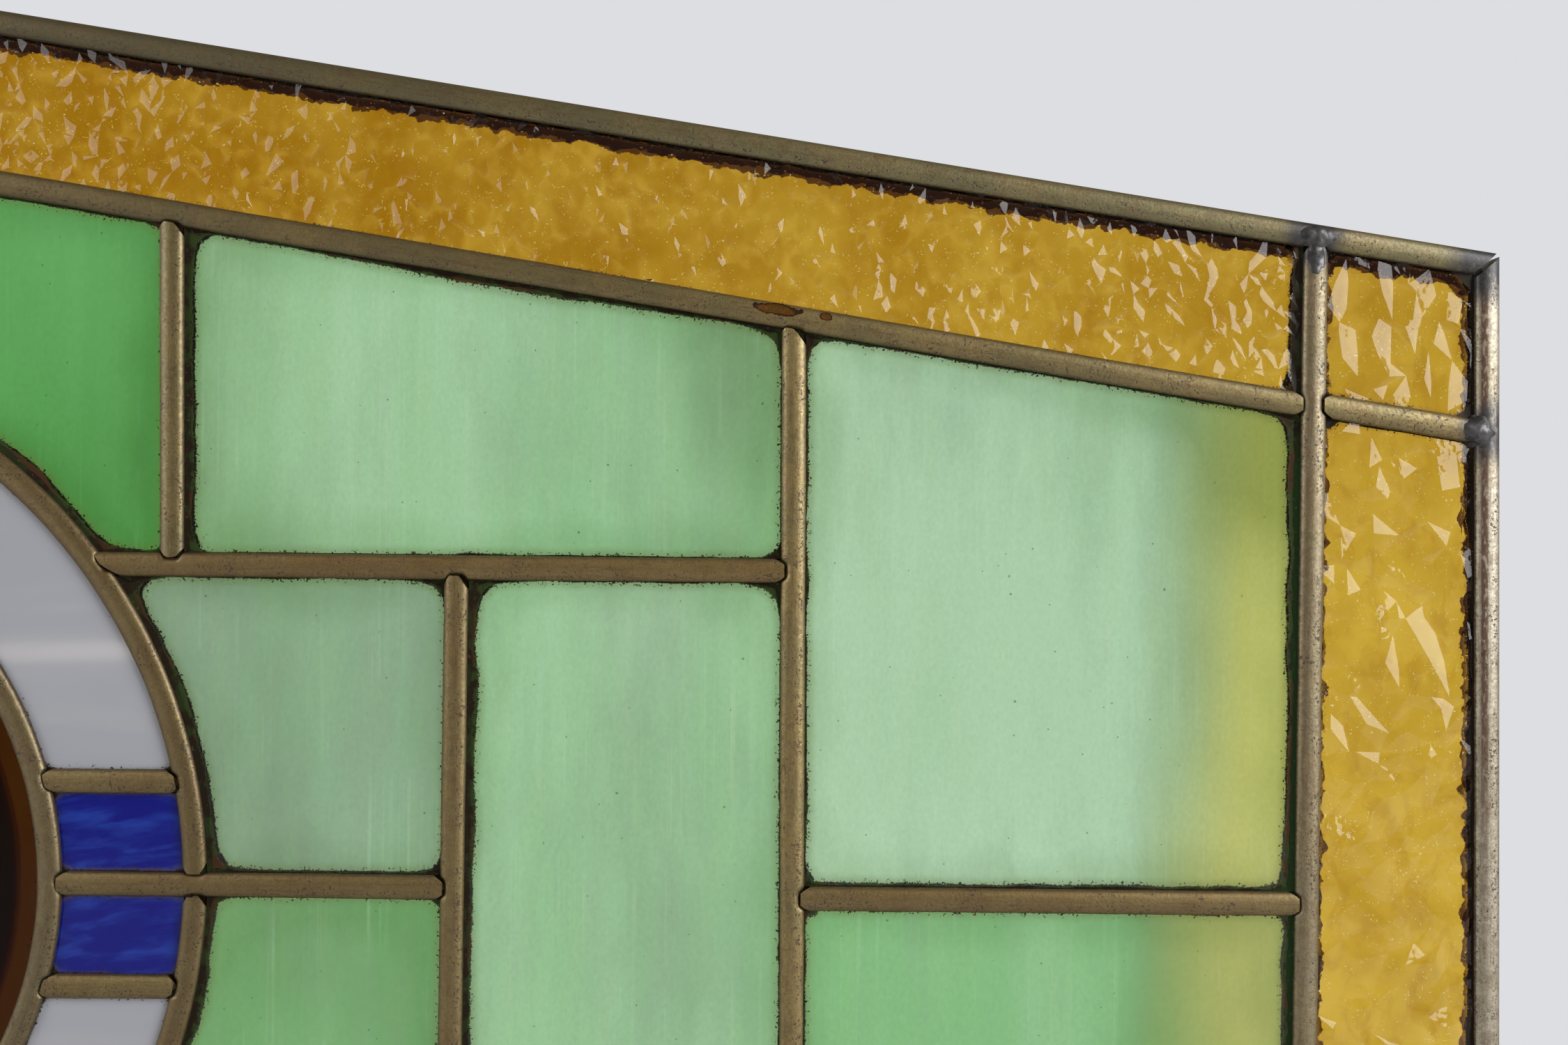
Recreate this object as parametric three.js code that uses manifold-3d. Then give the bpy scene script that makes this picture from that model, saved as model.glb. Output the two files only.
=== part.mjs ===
// A leaded transom window: panes of coloured glass held in half-round brass came.
// It has a flat foot, nearly upright sides and a shallow gable, with a rosette of two rings in its middle.
// Units are millimetres. Seen from the front, +X runs to the right and +Z runs up. The front faces -Y.
// The origin is the middle of the flat underside of the frame's foot.
import * as THREE from "three";
import { mergeVertices } from "three/addons/utils/BufferGeometryUtils.js";
import Module from "manifold-3d";

const wasm = await Module();
wasm.setup();

// ---- Driving dimensions ----

const came_width = 6.4; // across the face of every came
const came_depth = 8.0; // from its front crest to its back crest
const came_lip = 0.6; // thickness of a flange at its edge
const came_web = 1.2; // the heart between two panes
const crest_steps = 4; // flats across a came's rounded face

const glass_thickness = 3.0;
const glass_slack = 0.3; // between a pane and each flange
const seat_gap = 0.4; // between pieces that butt on each other
const corner_gap = 1.2; // the open mitres of the two upper corners

const ring_outer_radius = 140.7; // to the centre line of each ring
const ring_inner_radius = 102.4;
const ring_steps = 56; // flats around each ring
const block_offset = 27; // from a rosette axis to the short came beside it

const foot_drop = 240; // from the rosette's centre to the centre line of the frame's foot
const foot_border = 42; // from there up to the inner came over it
const rail_offset = 84.3; // from the rosette's centre to the upper and lower rails
const side_rail_drop = 2; // the side rail sits a little under the rosette's axis

const solder_radius = 4.5; // lumps of solder at the joints of the upper corners
const solder_height = 0.8; // how far they stand over the crest of a came
const solder_steps = 12; // flats around a lump

// ---- Sizes that follow ----

const half_width = came_width / 2;
const half_depth = came_depth / 2;
const half_channel = glass_thickness / 2 + glass_slack;
const half_lip = half_channel + came_lip;
const pane_inset = came_web / 2 + seat_gap; // from a came's centre line to the edge of a pane
const butt_offset = half_width + seat_gap; // from a came's centre line to the end of another
const centre_height = foot_drop + half_width; // of the rosette over the origin
const ring_step = (2 * Math.PI) / ring_steps;

// ---- Plane geometry, with points as [x, z] about the rosette's centre ----

const line = (from, to) => ({ from, to });
const ring = (radius) => ({ radius });
const is_ring = (track) => track.radius !== undefined;
const reversed = ({ from, to }) => line(to, from);
const mirror = ({ from, to }) => line([-from[0], from[1]], [-to[0], to[1]]);

const sub = (a, b) => [a[0] - b[0], a[1] - b[1]];
const dot = (a, b) => a[0] * b[0] + a[1] * b[1];
const step = (from, way, distance) => [from[0] + way[0] * distance, from[1] + way[1] * distance];
const size = (a) => Math.hypot(a[0], a[1]);
const unit = (a) => [a[0] / size(a), a[1] / size(a)];
const direction = ({ from, to }) => unit(sub(to, from));
const normal = (track) => [-direction(track)[1], direction(track)[0]];
const middle_of = (track) => step(track.from, direction(track), -dot(track.from, direction(track)));

// The same line or ring, moved by a distance to the side where the point lies.
function moved(track, point, distance) {
  if (is_ring(track)) {
    return ring(track.radius + distance * Math.sign(size(point) - track.radius));
  }
  const way = normal(track);
  const side = Math.sign(dot(sub(point, track.from), way));
  return line(step(track.from, way, side * distance), step(track.to, way, side * distance));
}

// Where two tracks cross. Of a line's two crossings with a ring, it is the one nearer to the point.
function crossing(a, b, point) {
  if (is_ring(a)) return crossing(b, a, point);
  const way = direction(a);
  if (!is_ring(b)) {
    const across = normal(b);
    return step(a.from, way, dot(sub(b.from, a.from), across) / dot(way, across));
  }
  const middle = middle_of(a);
  const reach = Math.sqrt(b.radius ** 2 - dot(middle, middle));
  const side = Math.sign(dot(sub(point, middle), way));
  return step(middle, way, side * reach);
}

// A line square to the track through one of its points.
const square = (track, at) => line(at, step(at, normal(track), 1));

// ---- The lead lines ----

const centre_line = line([0, -foot_drop], [0, foot_drop]);
const inner_ring = ring(ring_inner_radius);
const outer_ring = ring(ring_outer_radius);
const axis_rail = line([0, 0], [1, 0]);
const block_above = line([0, block_offset], [1, block_offset]);
const block_below = line([0, -block_offset], [1, -block_offset]);
const block_beside = line([block_offset, 0], [block_offset, 1]);

// The frame leans and slopes a little, as a hand-made panel does.
const gable = line([0, 239.6], [480, 166.8]);
const side = line([479.3, 150], [481.3, -44]);
const foot = line([0, -foot_drop], [1, -foot_drop]);
const border_gable = line([0, 198.2], [430, 129.6]);
const border_side = line([434, 174], [433.3, -44]);
const border_foot = line([0, foot_border - foot_drop], [1, foot_border - foot_drop]);
const corner_upper = line([440.7, 128.7], [470.3, 124]);
const corner_lower = border_foot;

const outer_post = line([296.9, 148], [298.1, -44]);
const inner_post = line([208.8, 79], [208.2, -44]);
const upper_post = line([132.8, 177], [133.8, rail_offset]);
const lower_post = line([133.8, -rail_offset], [132.8, -177]);
const upper_rail = line([0, rail_offset], [1, rail_offset]);
const lower_rail = line([0, -rail_offset], [1, -rail_offset]);
const side_rail = line([0, -side_rail_drop], [1, -side_rail_drop]);

// ---- Panes ----

// A sheet of glass with that outline, in the middle of the panel's depth.
function sheet(outline) {
  const shape = new THREE.Shape(outline.map(([x, z]) => new THREE.Vector2(x, z)));
  const geometry = new THREE.ExtrudeGeometry(shape, {
    depth: glass_thickness,
    bevelEnabled: false,
  });
  geometry.rotateX(Math.PI / 2);
  geometry.translate(0, glass_thickness / 2, centre_height);
  return geometry;
}

// The points of a ring from one of its points towards another, without the last.
function arc(radius, from, to) {
  const start = Math.atan2(from[1], from[0]);
  const difference = Math.atan2(to[1], to[0]) - start;
  const turn = Math.atan2(Math.sin(difference), Math.cos(difference));
  const steps = Math.ceil(Math.abs(turn) / ring_step);
  return Array.from({ length: steps }, (_, i) => {
    const angle = start + (turn * i) / steps;
    return [radius * Math.cos(angle), radius * Math.sin(angle)];
  });
}

// The pane around a point, inside the cames that are listed in order around it.
function pane(point, tracks) {
  const edges = tracks.map((track) => moved(track, point, pane_inset));
  const outline = edges.flatMap((edge, i) => {
    const before = edges.at(i - 1);
    const after = edges[(i + 1) % edges.length];
    const start = crossing(before, edge, point);
    return is_ring(edge) ? arc(edge.radius, start, crossing(edge, after, point)) : [start];
  });
  return sheet(outline);
}

function disc() {
  const radius = ring_inner_radius - pane_inset;
  const angles = Array.from({ length: ring_steps }, (_, i) => i * ring_step);
  return sheet(angles.map((angle) => [radius * Math.cos(angle), radius * Math.sin(angle)]));
}

// ---- Cames, with sections as points [across, depth] ----

// The rounded face from lip to lip. side is 1 for the back and -1 for the front.
function face(side, grown = 0) {
  return Array.from({ length: crest_steps + 1 }, (_, i) => {
    const angle = (Math.PI * i) / crest_steps;
    const across = (half_width + grown) * Math.cos(angle) * side;
    const depth = half_lip + (half_depth + grown - half_lip) * Math.sin(angle);
    return [across, depth * side];
  });
}

// The channel for the glass on one side. side is -1 for the left and 1 for the right.
const channel = (side) => [
  [half_width * side, -half_channel * side],
  [(came_web / 2) * side, -half_channel * side],
  [(came_web / 2) * side, half_channel * side],
  [half_width * side, half_channel * side],
];

const h_section = [...face(1), ...channel(-1), ...face(-1), ...channel(1)];
const u_section = [...face(1), ...channel(-1), ...face(-1)]; // the frame's outer side is flat
const keep_out_section = [...face(1, seat_gap), ...face(-1, seat_gap)];

// A straight came along a track, with each end cut off on a line of its own.
// Seen along the track, with the back of the panel up, its section's +across is to the left of it.
function came(section, track, start_cut, end_cut) {
  const way = direction(track);
  const across = [way[1], -way[0]];
  const shape = new THREE.Shape(section.map(([u, v]) => new THREE.Vector2(u, v)));
  const geometry = new THREE.ExtrudeGeometry(shape, { depth: 1, bevelEnabled: false });
  const position = geometry.getAttribute("position");
  for (let i = 0; i < position.count; i += 1) {
    const from = step(track.from, across, position.getX(i));
    const end = position.getZ(i) > 0.5 ? end_cut : start_cut;
    const [x, z] = crossing(line(from, step(from, way, 1)), end);
    position.setXYZ(i, x, position.getY(i), z + centre_height);
  }
  geometry.computeVertexNormals();
  return geometry;
}

function ring_came(radius) {
  const profile = [...h_section, h_section[0]];
  const points = profile.map(([u, v]) => new THREE.Vector2(radius + u, v));
  const geometry = new THREE.LatheGeometry(points, ring_steps);
  geometry.translate(0, 0, centre_height);
  return geometry;
}

// The end of a came that butts on another track, from the side where the point lies.
function butt(track, point) {
  const edge = moved(track, point, butt_offset);
  if (!is_ring(edge)) return edge;
  return square(line([0, 0], point), step([0, 0], unit(point), edge.radius));
}

// The end of a came that is soldered into the heart of another.
const into = (track, other, point) => square(track, crossing(track, other, point));

// The end of one track of the frame in its mitre with another.
function mitre(own, other, gap) {
  const corner = crossing(own, other);
  const arms = [own, other].map((track) => unit(sub(middle_of(track), corner)));
  const bisector = line(corner, step(step(corner, arms[0], 1), arms[1], 1));
  return moved(bisector, middle_of(own), gap / 2);
}

// ---- Joining and cutting ----

function solid_of(geometry) {
  const bare = new THREE.BufferGeometry();
  const source = geometry.index ? geometry.toNonIndexed() : geometry;
  bare.setAttribute("position", source.getAttribute("position"));
  const merged = mergeVertices(bare, 1e-4);
  const vertProperties = new Float32Array(merged.attributes.position.array);
  const triVerts = new Uint32Array(merged.index.array);
  return new wasm.Manifold(new wasm.Mesh({ numProp: 3, vertProperties, triVerts }));
}

function geometry_of(solid) {
  const mesh = solid.getMesh();
  const geometry = new THREE.BufferGeometry();
  geometry.setAttribute("position", new THREE.BufferAttribute(mesh.vertProperties, 3));
  geometry.setIndex(new THREE.BufferAttribute(mesh.triVerts, 1));
  geometry.computeVertexNormals();
  return geometry;
}

const fused = (geometries) =>
  geometry_of(geometries.map(solid_of).reduce((whole, piece) => whole.add(piece)));

// The same piece on the left of the panel.
function mirrored(geometry) {
  const copy = geometry.index ? geometry.toNonIndexed() : geometry.clone();
  const position = copy.getAttribute("position");
  const corner = (i) => [-position.getX(i), position.getY(i), position.getZ(i)];
  for (let i = 0; i < position.count; i += 3) {
    const [first, second, third] = [corner(i), corner(i + 1), corner(i + 2)];
    position.setXYZ(i, ...second);
    position.setXYZ(i + 1, ...first);
    position.setXYZ(i + 2, ...third);
  }
  copy.computeVertexNormals();
  return copy;
}

// A came with lumps of solder at a joint, front and back, that lap over the came it butts on.
function soldered(geometry, track, other) {
  const rise = half_depth + solder_height - half_channel;
  const dome = Array.from({ length: 4 }, (_, i) => {
    const angle = (Math.PI / 6) * i;
    return new THREE.Vector2(solder_radius * Math.cos(angle), rise * Math.sin(angle));
  });
  const [x, z] = crossing(track, moved(other, [0, 0], half_width));
  const keep_out = came(
    keep_out_section,
    other,
    square(other, step([x, z], direction(other), -2 * solder_radius)),
    square(other, step([x, z], direction(other), 2 * solder_radius)),
  );
  const lumps = [0, Math.PI].map((turn) => {
    const lump = new THREE.LatheGeometry([new THREE.Vector2(0, 0), ...dome], solder_steps);
    lump.translate(0, half_channel, 0);
    lump.rotateX(turn);
    lump.translate(x, 0, z + centre_height);
    return geometry_of(solid_of(lump).subtract(solid_of(keep_out)));
  });
  return fused([geometry, ...lumps]);
}

// ---- Materials ----

const finish = (color, roughness, metalness, opacity = 1) =>
  new THREE.MeshStandardMaterial({
    color,
    roughness,
    metalness,
    opacity,
    transparent: opacity < 1,
  });
const brass = finish(0x7d775f, 0.45, 0.8);
const amber_glass = finish(0xbe8c1e, 0.12, 0, 0.8);
const deep_green_glass = finish(0x55a55a, 0.15, 0, 0.8);
const green_glass = finish(0x96cd9b, 0.15, 0, 0.8);
const white_glass = finish(0xaaacb9, 0.2, 0, 0.95);
const blue_glass = finish(0x233ca5, 0.15, 0, 0.95);
const brown_glass = finish(0x4a2a08, 0.12, 0, 0.9);

// ---- The cames of the right half ----

const inside = [0, 0]; // a point on the inner side of every track of the frame and the border
const right_side = [1, 0]; // a point to the right of the panel's centre line
const outside = [500, 0]; // a point beyond the frame's side

const frame_cames = {
  frame_side_right: came(
    u_section,
    reversed(side),
    mitre(side, foot, seat_gap),
    mitre(side, gable, corner_gap),
  ),
  frame_gable_right: came(
    u_section,
    reversed(gable),
    mitre(gable, side, corner_gap),
    moved(centre_line, right_side, seat_gap / 2),
  ),
};

// The border's side came runs from the foot to the gable, and its other cames butt on it.
const border_cames = {
  border_side_right: soldered(
    came(h_section, border_side, butt(gable, inside), butt(foot, inside)),
    border_side,
    gable,
  ),
  border_gable_right: came(
    h_section,
    border_gable,
    moved(centre_line, right_side, butt_offset),
    butt(border_side, inside),
  ),
  border_foot_right: came(
    h_section,
    border_foot,
    moved(centre_line, right_side, butt_offset),
    butt(border_side, inside),
  ),
  corner_came_upper_right: soldered(
    came(h_section, corner_upper, butt(border_side, outside), butt(side, inside)),
    corner_upper,
    side,
  ),
  corner_came_lower_right: came(
    h_section,
    corner_lower,
    butt(border_side, outside),
    butt(side, inside),
  ),
};

// The rails start on the outer ring, where it turns away under them.
const rail_start = crossing(upper_rail, outer_ring, right_side);
const upper_start = butt(outer_ring, step([0, 0], rail_start, 2));
const lower_start = butt(outer_ring, step([0, 0], [rail_start[0], -rail_start[1]], 2));

const lattice_right = fused([
  came(h_section, outer_post, butt(border_gable, inside), butt(border_foot, inside)),
  came(h_section, inner_post, into(inner_post, upper_rail), into(inner_post, lower_rail)),
  came(h_section, upper_post, butt(border_gable, inside), into(upper_post, upper_rail)),
  came(h_section, lower_post, into(lower_post, lower_rail), butt(border_foot, inside)),
  came(h_section, upper_rail, upper_start, into(upper_rail, outer_post)),
  came(h_section, lower_rail, lower_start, into(lower_rail, outer_post)),
  came(h_section, side_rail, into(side_rail, outer_post), butt(border_side, inside)),
]);

// ---- The rosette's cames ----

// The came on each axis starts on the inner ring, crosses the outer ring and ends on what lies beyond.
const half_apex = line([half_width, 0], [half_width, 1]);
const apex = crossing(half_apex, butt(gable, inside));
const axis_right = came(
  h_section,
  axis_rail,
  butt(inner_ring, outside),
  butt(inner_post, inside),
);
const axis_top = came(
  h_section,
  centre_line,
  butt(inner_ring, [0, foot_drop]),
  square(centre_line, apex),
);
const axis_foot = came(
  h_section,
  reversed(centre_line),
  butt(inner_ring, [0, -foot_drop]),
  butt(foot, inside),
);

// The short cames on both sides of an axis came.
function block_came(track, point) {
  const start = crossing(track, inner_ring, point);
  const end = into(track, outer_ring, point);
  return came(h_section, track, butt(inner_ring, step([0, 0], start, 2)), end);
}

const short_cames = [
  block_came(block_above, [outside[0], block_offset]),
  block_came(block_below, [outside[0], -block_offset]),
  block_came(block_beside, [block_offset, foot_drop]),
  block_came(reversed(block_beside), [block_offset, -foot_drop]),
];

const rosette = fused([
  ring_came(ring_outer_radius),
  axis_top,
  axis_foot,
  axis_right,
  mirrored(axis_right),
  ...short_cames,
  ...short_cames.map(mirrored),
]);

// ---- The panes of the right half: a point in each, and the cames around it in order ----

const panes = [
  ["green_crown", deep_green_glass, [70, 155], [outer_ring, upper_rail, upper_post, border_gable, centre_line]],
  ["green_foot", deep_green_glass, [70, -170], [border_foot, lower_post, lower_rail, outer_ring, centre_line]],
  ["green_upper", green_glass, [215, 120], [upper_rail, outer_post, border_gable, upper_post]],
  ["green_lower", green_glass, [215, -140], [border_foot, outer_post, lower_rail, lower_post]],
  ["green_tall_upper", green_glass, [365, 70], [side_rail, border_side, border_gable, outer_post]],
  ["green_tall_lower", green_glass, [365, -100], [border_foot, border_side, side_rail, outer_post]],
  ["green_ring_upper", green_glass, [175, 40], [axis_rail, inner_post, upper_rail, outer_ring]],
  ["green_ring_lower", green_glass, [175, -40], [lower_rail, inner_post, axis_rail, outer_ring]],
  ["green_middle", green_glass, [253, 0], [lower_rail, outer_post, upper_rail, inner_post]],
  ["amber_gable", amber_glass, [215, 185], [border_gable, border_side, gable, centre_line]],
  ["amber_foot", amber_glass, [215, -219], [foot, border_side, border_foot, centre_line]],
  ["amber_side", amber_glass, [456, -30], [corner_lower, side, corner_upper, border_side]],
  ["amber_corner_upper", amber_glass, [456, 150], [corner_upper, side, gable, border_side]],
  ["amber_corner_lower", amber_glass, [456, -219], [foot, side, corner_lower, border_side]],
  ["white_upper", white_glass, [86, 86], [inner_ring, block_above, outer_ring, block_beside]],
  ["white_lower", white_glass, [86, -86], [inner_ring, block_beside, outer_ring, block_below]],
  ["blue_side_upper", blue_glass, [121, 13], [axis_rail, outer_ring, block_above, inner_ring]],
  ["blue_side_lower", blue_glass, [121, -13], [axis_rail, inner_ring, block_below, outer_ring]],
  ["blue_top", blue_glass, [13, 121], [inner_ring, block_beside, outer_ring, centre_line]],
  ["blue_foot", blue_glass, [13, -121], [inner_ring, centre_line, outer_ring, block_beside]],
];

// ---- The panel ----

const panel = new THREE.Group();

function place(name, geometry, material) {
  const mesh = new THREE.Mesh(geometry, material);
  mesh.name = name;
  panel.add(mesh);
}

// A piece of the right half and its like on the left.
function place_pair(name, geometry, material) {
  place(name, geometry, material);
  place(name.replace("_right", "_left"), mirrored(geometry), material);
}

for (const [name, geometry] of Object.entries({ ...frame_cames, ...border_cames, lattice_right })) {
  place_pair(name, geometry, brass);
}
for (const [name, glass, point, tracks] of panes) {
  place_pair(`glass_${name}_right`, pane(point, tracks), glass);
}

const foot_end = mitre(foot, side, seat_gap);
place("frame_foot", came(u_section, foot, mirror(foot_end), foot_end), brass);
place("ring_inner", ring_came(ring_inner_radius), brass);
place("rosette_cames", rosette, brass);
place("glass_disc", disc(), brown_glass);

export default panel;
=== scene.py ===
"""The looks of a leaded transom window: half-round brass came, coloured glass, cement and solder.

Lengths are millimetres in the panel's plane, as points (x, z) about the rosette's centre, until a mesh is
made: then they are metres, in the frame's own axes. The front faces -Y.
"""

import math

import bpy
import numpy as np
from mathutils import Euler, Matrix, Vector
from mathutils.geometry import delaunay_2d_cdt, tessellate_polygon


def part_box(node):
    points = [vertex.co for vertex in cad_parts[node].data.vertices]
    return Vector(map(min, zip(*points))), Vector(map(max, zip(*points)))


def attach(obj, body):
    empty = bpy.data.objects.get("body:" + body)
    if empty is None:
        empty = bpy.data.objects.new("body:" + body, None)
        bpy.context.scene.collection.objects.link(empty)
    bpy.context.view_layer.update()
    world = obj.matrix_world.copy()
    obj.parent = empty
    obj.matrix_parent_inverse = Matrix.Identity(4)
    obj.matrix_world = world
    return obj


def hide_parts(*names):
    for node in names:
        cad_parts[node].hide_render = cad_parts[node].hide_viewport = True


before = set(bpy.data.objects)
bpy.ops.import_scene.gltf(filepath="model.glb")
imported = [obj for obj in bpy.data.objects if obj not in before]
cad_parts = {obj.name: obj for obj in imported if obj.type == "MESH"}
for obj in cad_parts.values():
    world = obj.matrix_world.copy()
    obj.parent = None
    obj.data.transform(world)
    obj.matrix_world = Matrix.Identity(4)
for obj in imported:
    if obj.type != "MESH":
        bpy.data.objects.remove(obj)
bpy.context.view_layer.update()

MM = 0.001

# ---- Sizes ----

disc_low, disc_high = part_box("glass_disc")
centre_height = (disc_low.z + disc_high.z) / 2 / MM
glass_face = -disc_low.y / MM  # half the thickness of a pane
half_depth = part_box("ring_inner")[1].y / MM  # from the panel's middle to the crest of a came

half_width = 3.2  # of a came
half_channel = 1.8  # from the panel's middle to the inner face of a flange
half_lip = 2.4  # and to its outer face, at the edge
half_web = 0.6
pane_edge = 1.0  # from a came's centre line to the edge of a pane
corner_gap = 1.2  # the open mitres of the two upper corners
fine_gap = 0.4

nose_tip = 1.7  # half the width of a came's blunt end
nose_gap = 0.25  # between it and the flank that it is pressed on
clipped = (1.5, 2.7)  # how much of each corner of a came's end is cut away, across and along
bend_zone = 5.0  # the length of a came that its shaped end takes up

station = 3.0  # between sections of a came
fine_station = 0.5
pane_pitch = 3.0  # between points of a pane's outline where it is round
solder_top = 4.74  # from the panel's middle, and no solder stands higher

# ---- The lead lines, as in the frame ----


def line(start, end):
    """A straight track, which runs on past both points. A ring's track is its radius."""
    return (np.array(start, float), np.array(end, float))


foot_drop = centre_height - half_width
rail_offset = 84.3
block_offset = 27
lines = {
    "centre": line((0, -foot_drop), (0, foot_drop)),
    "axis": line((0, 0), (1, 0)),
    "block_above": line((0, block_offset), (1, block_offset)),
    "block_below": line((0, -block_offset), (1, -block_offset)),
    "block_beside": line((block_offset, 0), (block_offset, 1)),
    "inner_ring": 102.4,
    "outer_ring": 140.7,
    "gable": line((0, 239.6), (480, 166.8)),
    "side": line((481.3, -44), (479.3, 150)),
    "foot": line((0, -foot_drop), (1, -foot_drop)),
    "border_gable": line((0, 198.2), (430, 129.6)),
    "border_side": line((433.3, -44), (434, 174)),
    "border_foot": line((0, 42 - foot_drop), (1, 42 - foot_drop)),
    "corner_upper": line((440.7, 128.7), (470.3, 124)),
    "outer_post": line((298.1, -44), (296.9, 148)),
    "inner_post": line((208.2, -44), (208.8, 79)),
    "upper_post": line((133.8, rail_offset), (132.8, 177)),
    "lower_post": line((132.8, -177), (133.8, -rail_offset)),
    "upper_rail": line((0, rail_offset), (1, rail_offset)),
    "lower_rail": line((0, -rail_offset), (1, -rail_offset)),
    "side_rail": line((0, -2), (1, -2)),
}


def is_ring(track):
    return isinstance(track, (int, float))


def direction(track):
    way = track[1] - track[0]
    return way / np.hypot(*way)


def left_of(track):
    way = direction(track)
    return np.array([-way[1], way[0]])


def beside(track, offset):
    """The same line or ring, moved to its left."""
    if is_ring(track):
        return track - offset
    return (track[0] + left_of(track) * offset, track[1] + left_of(track) * offset)


def offset_of(track, point):
    """How far to the left of a track a point lies. A ring runs counterclockwise."""
    point = np.asarray(point, float)
    if is_ring(track):
        return track - np.hypot(point[..., 0], point[..., 1])
    return (point - track[0]) @ left_of(track)


def along(track, point):
    """How far along a track a point lies, from its start. A ring starts on the right."""
    if is_ring(track):
        return math.atan2(point[1], point[0]) % math.tau * track
    return float((np.asarray(point) - track[0]) @ direction(track))


def spot(track, s, u):
    """The points s along a track and u to its left."""
    s, u = np.broadcast_arrays(s, u)
    if is_ring(track):
        angle = s / track
        return np.stack([np.cos(angle), np.sin(angle)], -1) * (track - u)[..., None]
    return track[0] + s[..., None] * direction(track) + u[..., None] * left_of(track)


def crossing(a, b, near):
    """Where two tracks cross. Of a line's two crossings with a ring, it is the one nearer to a point."""
    if is_ring(a):
        return crossing(b, a, near)
    way = direction(a)
    if not is_ring(b):
        across = left_of(b)
        return a[0] + way * ((b[0] - a[0]) @ across) / (way @ across)
    middle = a[0] - way * (a[0] @ way)
    reach = math.sqrt(b * b - middle @ middle)
    return middle + way * math.copysign(reach, (np.asarray(near) - middle) @ way)


def towards(track, point, distance):
    """A track moved to the side where the point lies."""
    return beside(track, math.copysign(distance, offset_of(track, point)))


# ---- Seeded noise over the panel's plane ----


def chance(i, j, seed):
    """A fixed number from 0 to 1 for each whole-numbered place."""
    h = (i * 73856093) ^ (j * 19349663) ^ (seed * 83492791)
    h = ((h ^ (h >> 13)) & 0x7FFFFFFF) * 1274126177 & 0x7FFFFFFF
    h = ((h ^ (h >> 15)) & 0x7FFFFFFF) * 668265263 & 0x7FFFFFFF
    return ((h ^ (h >> 14)) & 0xFFFF) / 0xFFFF


def noise(x, z, grain, seed):
    """Smooth noise from -1 to 1, with bumps about grain across."""
    x, z = np.broadcast_arrays(np.asarray(x, float) / grain, np.asarray(z, float) / grain)
    i, j = np.floor(x).astype(np.int64), np.floor(z).astype(np.int64)
    fx, fz = x - i, z - j
    fx, fz = fx * fx * (3 - 2 * fx), fz * fz * (3 - 2 * fz)
    low = chance(i, j, seed) * (1 - fx) + chance(i + 1, j, seed) * fx
    high = chance(i, j + 1, seed) * (1 - fx) + chance(i + 1, j + 1, seed) * fx
    return 2 * (low * (1 - fz) + high * fz) - 1


def smoothstep(low, high, value):
    t = np.clip((value - low) / (high - low), 0, 1)
    return t * t * (3 - 2 * t)


# ---- Meshes ----


def grid_faces(rows, columns, ring_rows=False):
    """Quads over a tube of points that is numbered row by row. Each row is a ring."""
    i, j = np.meshgrid(np.arange(rows if ring_rows else rows - 1), np.arange(columns), indexing="ij")
    k, m = (i + 1) % rows, (j + 1) % columns
    quads = [i * columns + j, i * columns + m, k * columns + m, k * columns + j]
    return np.stack([q.ravel() for q in quads], -1).tolist()


plain_crease = 35  # degrees


def make_piece(name, points, faces, material, slot, nodes=(), attributes=None, crease=plain_crease):
    """A mesh from points (x, y, z) in millimetres about the rosette's centre."""
    points = (np.asarray(points, float) + (0, 0, centre_height)) * MM
    mesh = bpy.data.meshes.new(name)
    mesh.from_pydata(points.tolist(), [], faces)
    for key, values in (attributes or {}).items():
        layer = mesh.attributes.new(key, "FLOAT", "POINT")
        layer.data.foreach_set("value", np.asarray(values, np.float32).ravel())
    mesh.materials.append(material)
    piece = bpy.data.objects.new(name, mesh)
    bpy.context.scene.collection.objects.link(piece)
    mesh.shade_smooth()
    mesh.set_sharp_from_angle(angle=math.radians(crease))
    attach(piece, "root")
    if nodes:
        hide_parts(*nodes)


def joined(parts):
    """The points and faces of several meshes as one."""
    starts = np.cumsum([0] + [len(points) for points, _ in parts])
    faces = [tuple(int(start) + i for i in face) for start, (_, own) in zip(starts, parts) for face in own]
    return np.concatenate([points for points, _ in parts]), faces


def make_pair(name, points, faces, material, slot, node=None, attributes=None, crease=plain_crease):
    """A piece of the right half, and its mirror image in the left half."""
    mirrored = (points * (-1, 1, 1), [face[::-1] for face in faces])
    for ending, shape in (("_right", (points, faces)), ("_left", mirrored)):
        nodes = [node + ending] if node else []
        make_piece(name + ending, *shape, material, slot, nodes, attributes, crease)


# ---- Cames ----

front_steps, back_steps = 12, 7
along_unit = 100  # millimetres of a came to one unit of its attribute "along"
sway, tremor = 0.09, 0.035  # how far a came that was set by hand wanders, in long and in short waves
swelling = 0.05  # and the share by which it grows thicker and thinner


def flange(steps, side):
    """The half-round face of a came, from its left to its right on the front, and back again behind."""
    angles = np.linspace(0, math.pi, steps + 1)
    return [
        (side * half_width * math.cos(a), -side * (half_lip + (half_depth - half_lip) * math.sin(a)))
        for a in angles
    ]


def came_section(inner):
    """Points (across, depth) round a came: an H, or a U with its channel on the inner side, 1 for left."""
    front, back = flange(front_steps, 1), flange(back_steps, -1)
    channel = [
        (half_width, -half_channel), (half_web, -half_channel),
        (half_web, half_channel), (half_width, half_channel),
    ]
    left = channel[::-1]
    right = [(-u, v) for u, v in channel]
    return np.array(front + (right if inner <= 0 else []) + back + (left if inner >= 0 else []))


def nose(other, near, push=1.1, left=clipped, right=clipped):
    """An end that is pressed on another came, how far it pushes its flank in, and the end's two corners."""
    cut = towards(lines[other], near, half_width - push + nose_gap)
    return {"cut": cut, "on": other, "near": near, "push": push, "corners": (left, right)}


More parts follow.
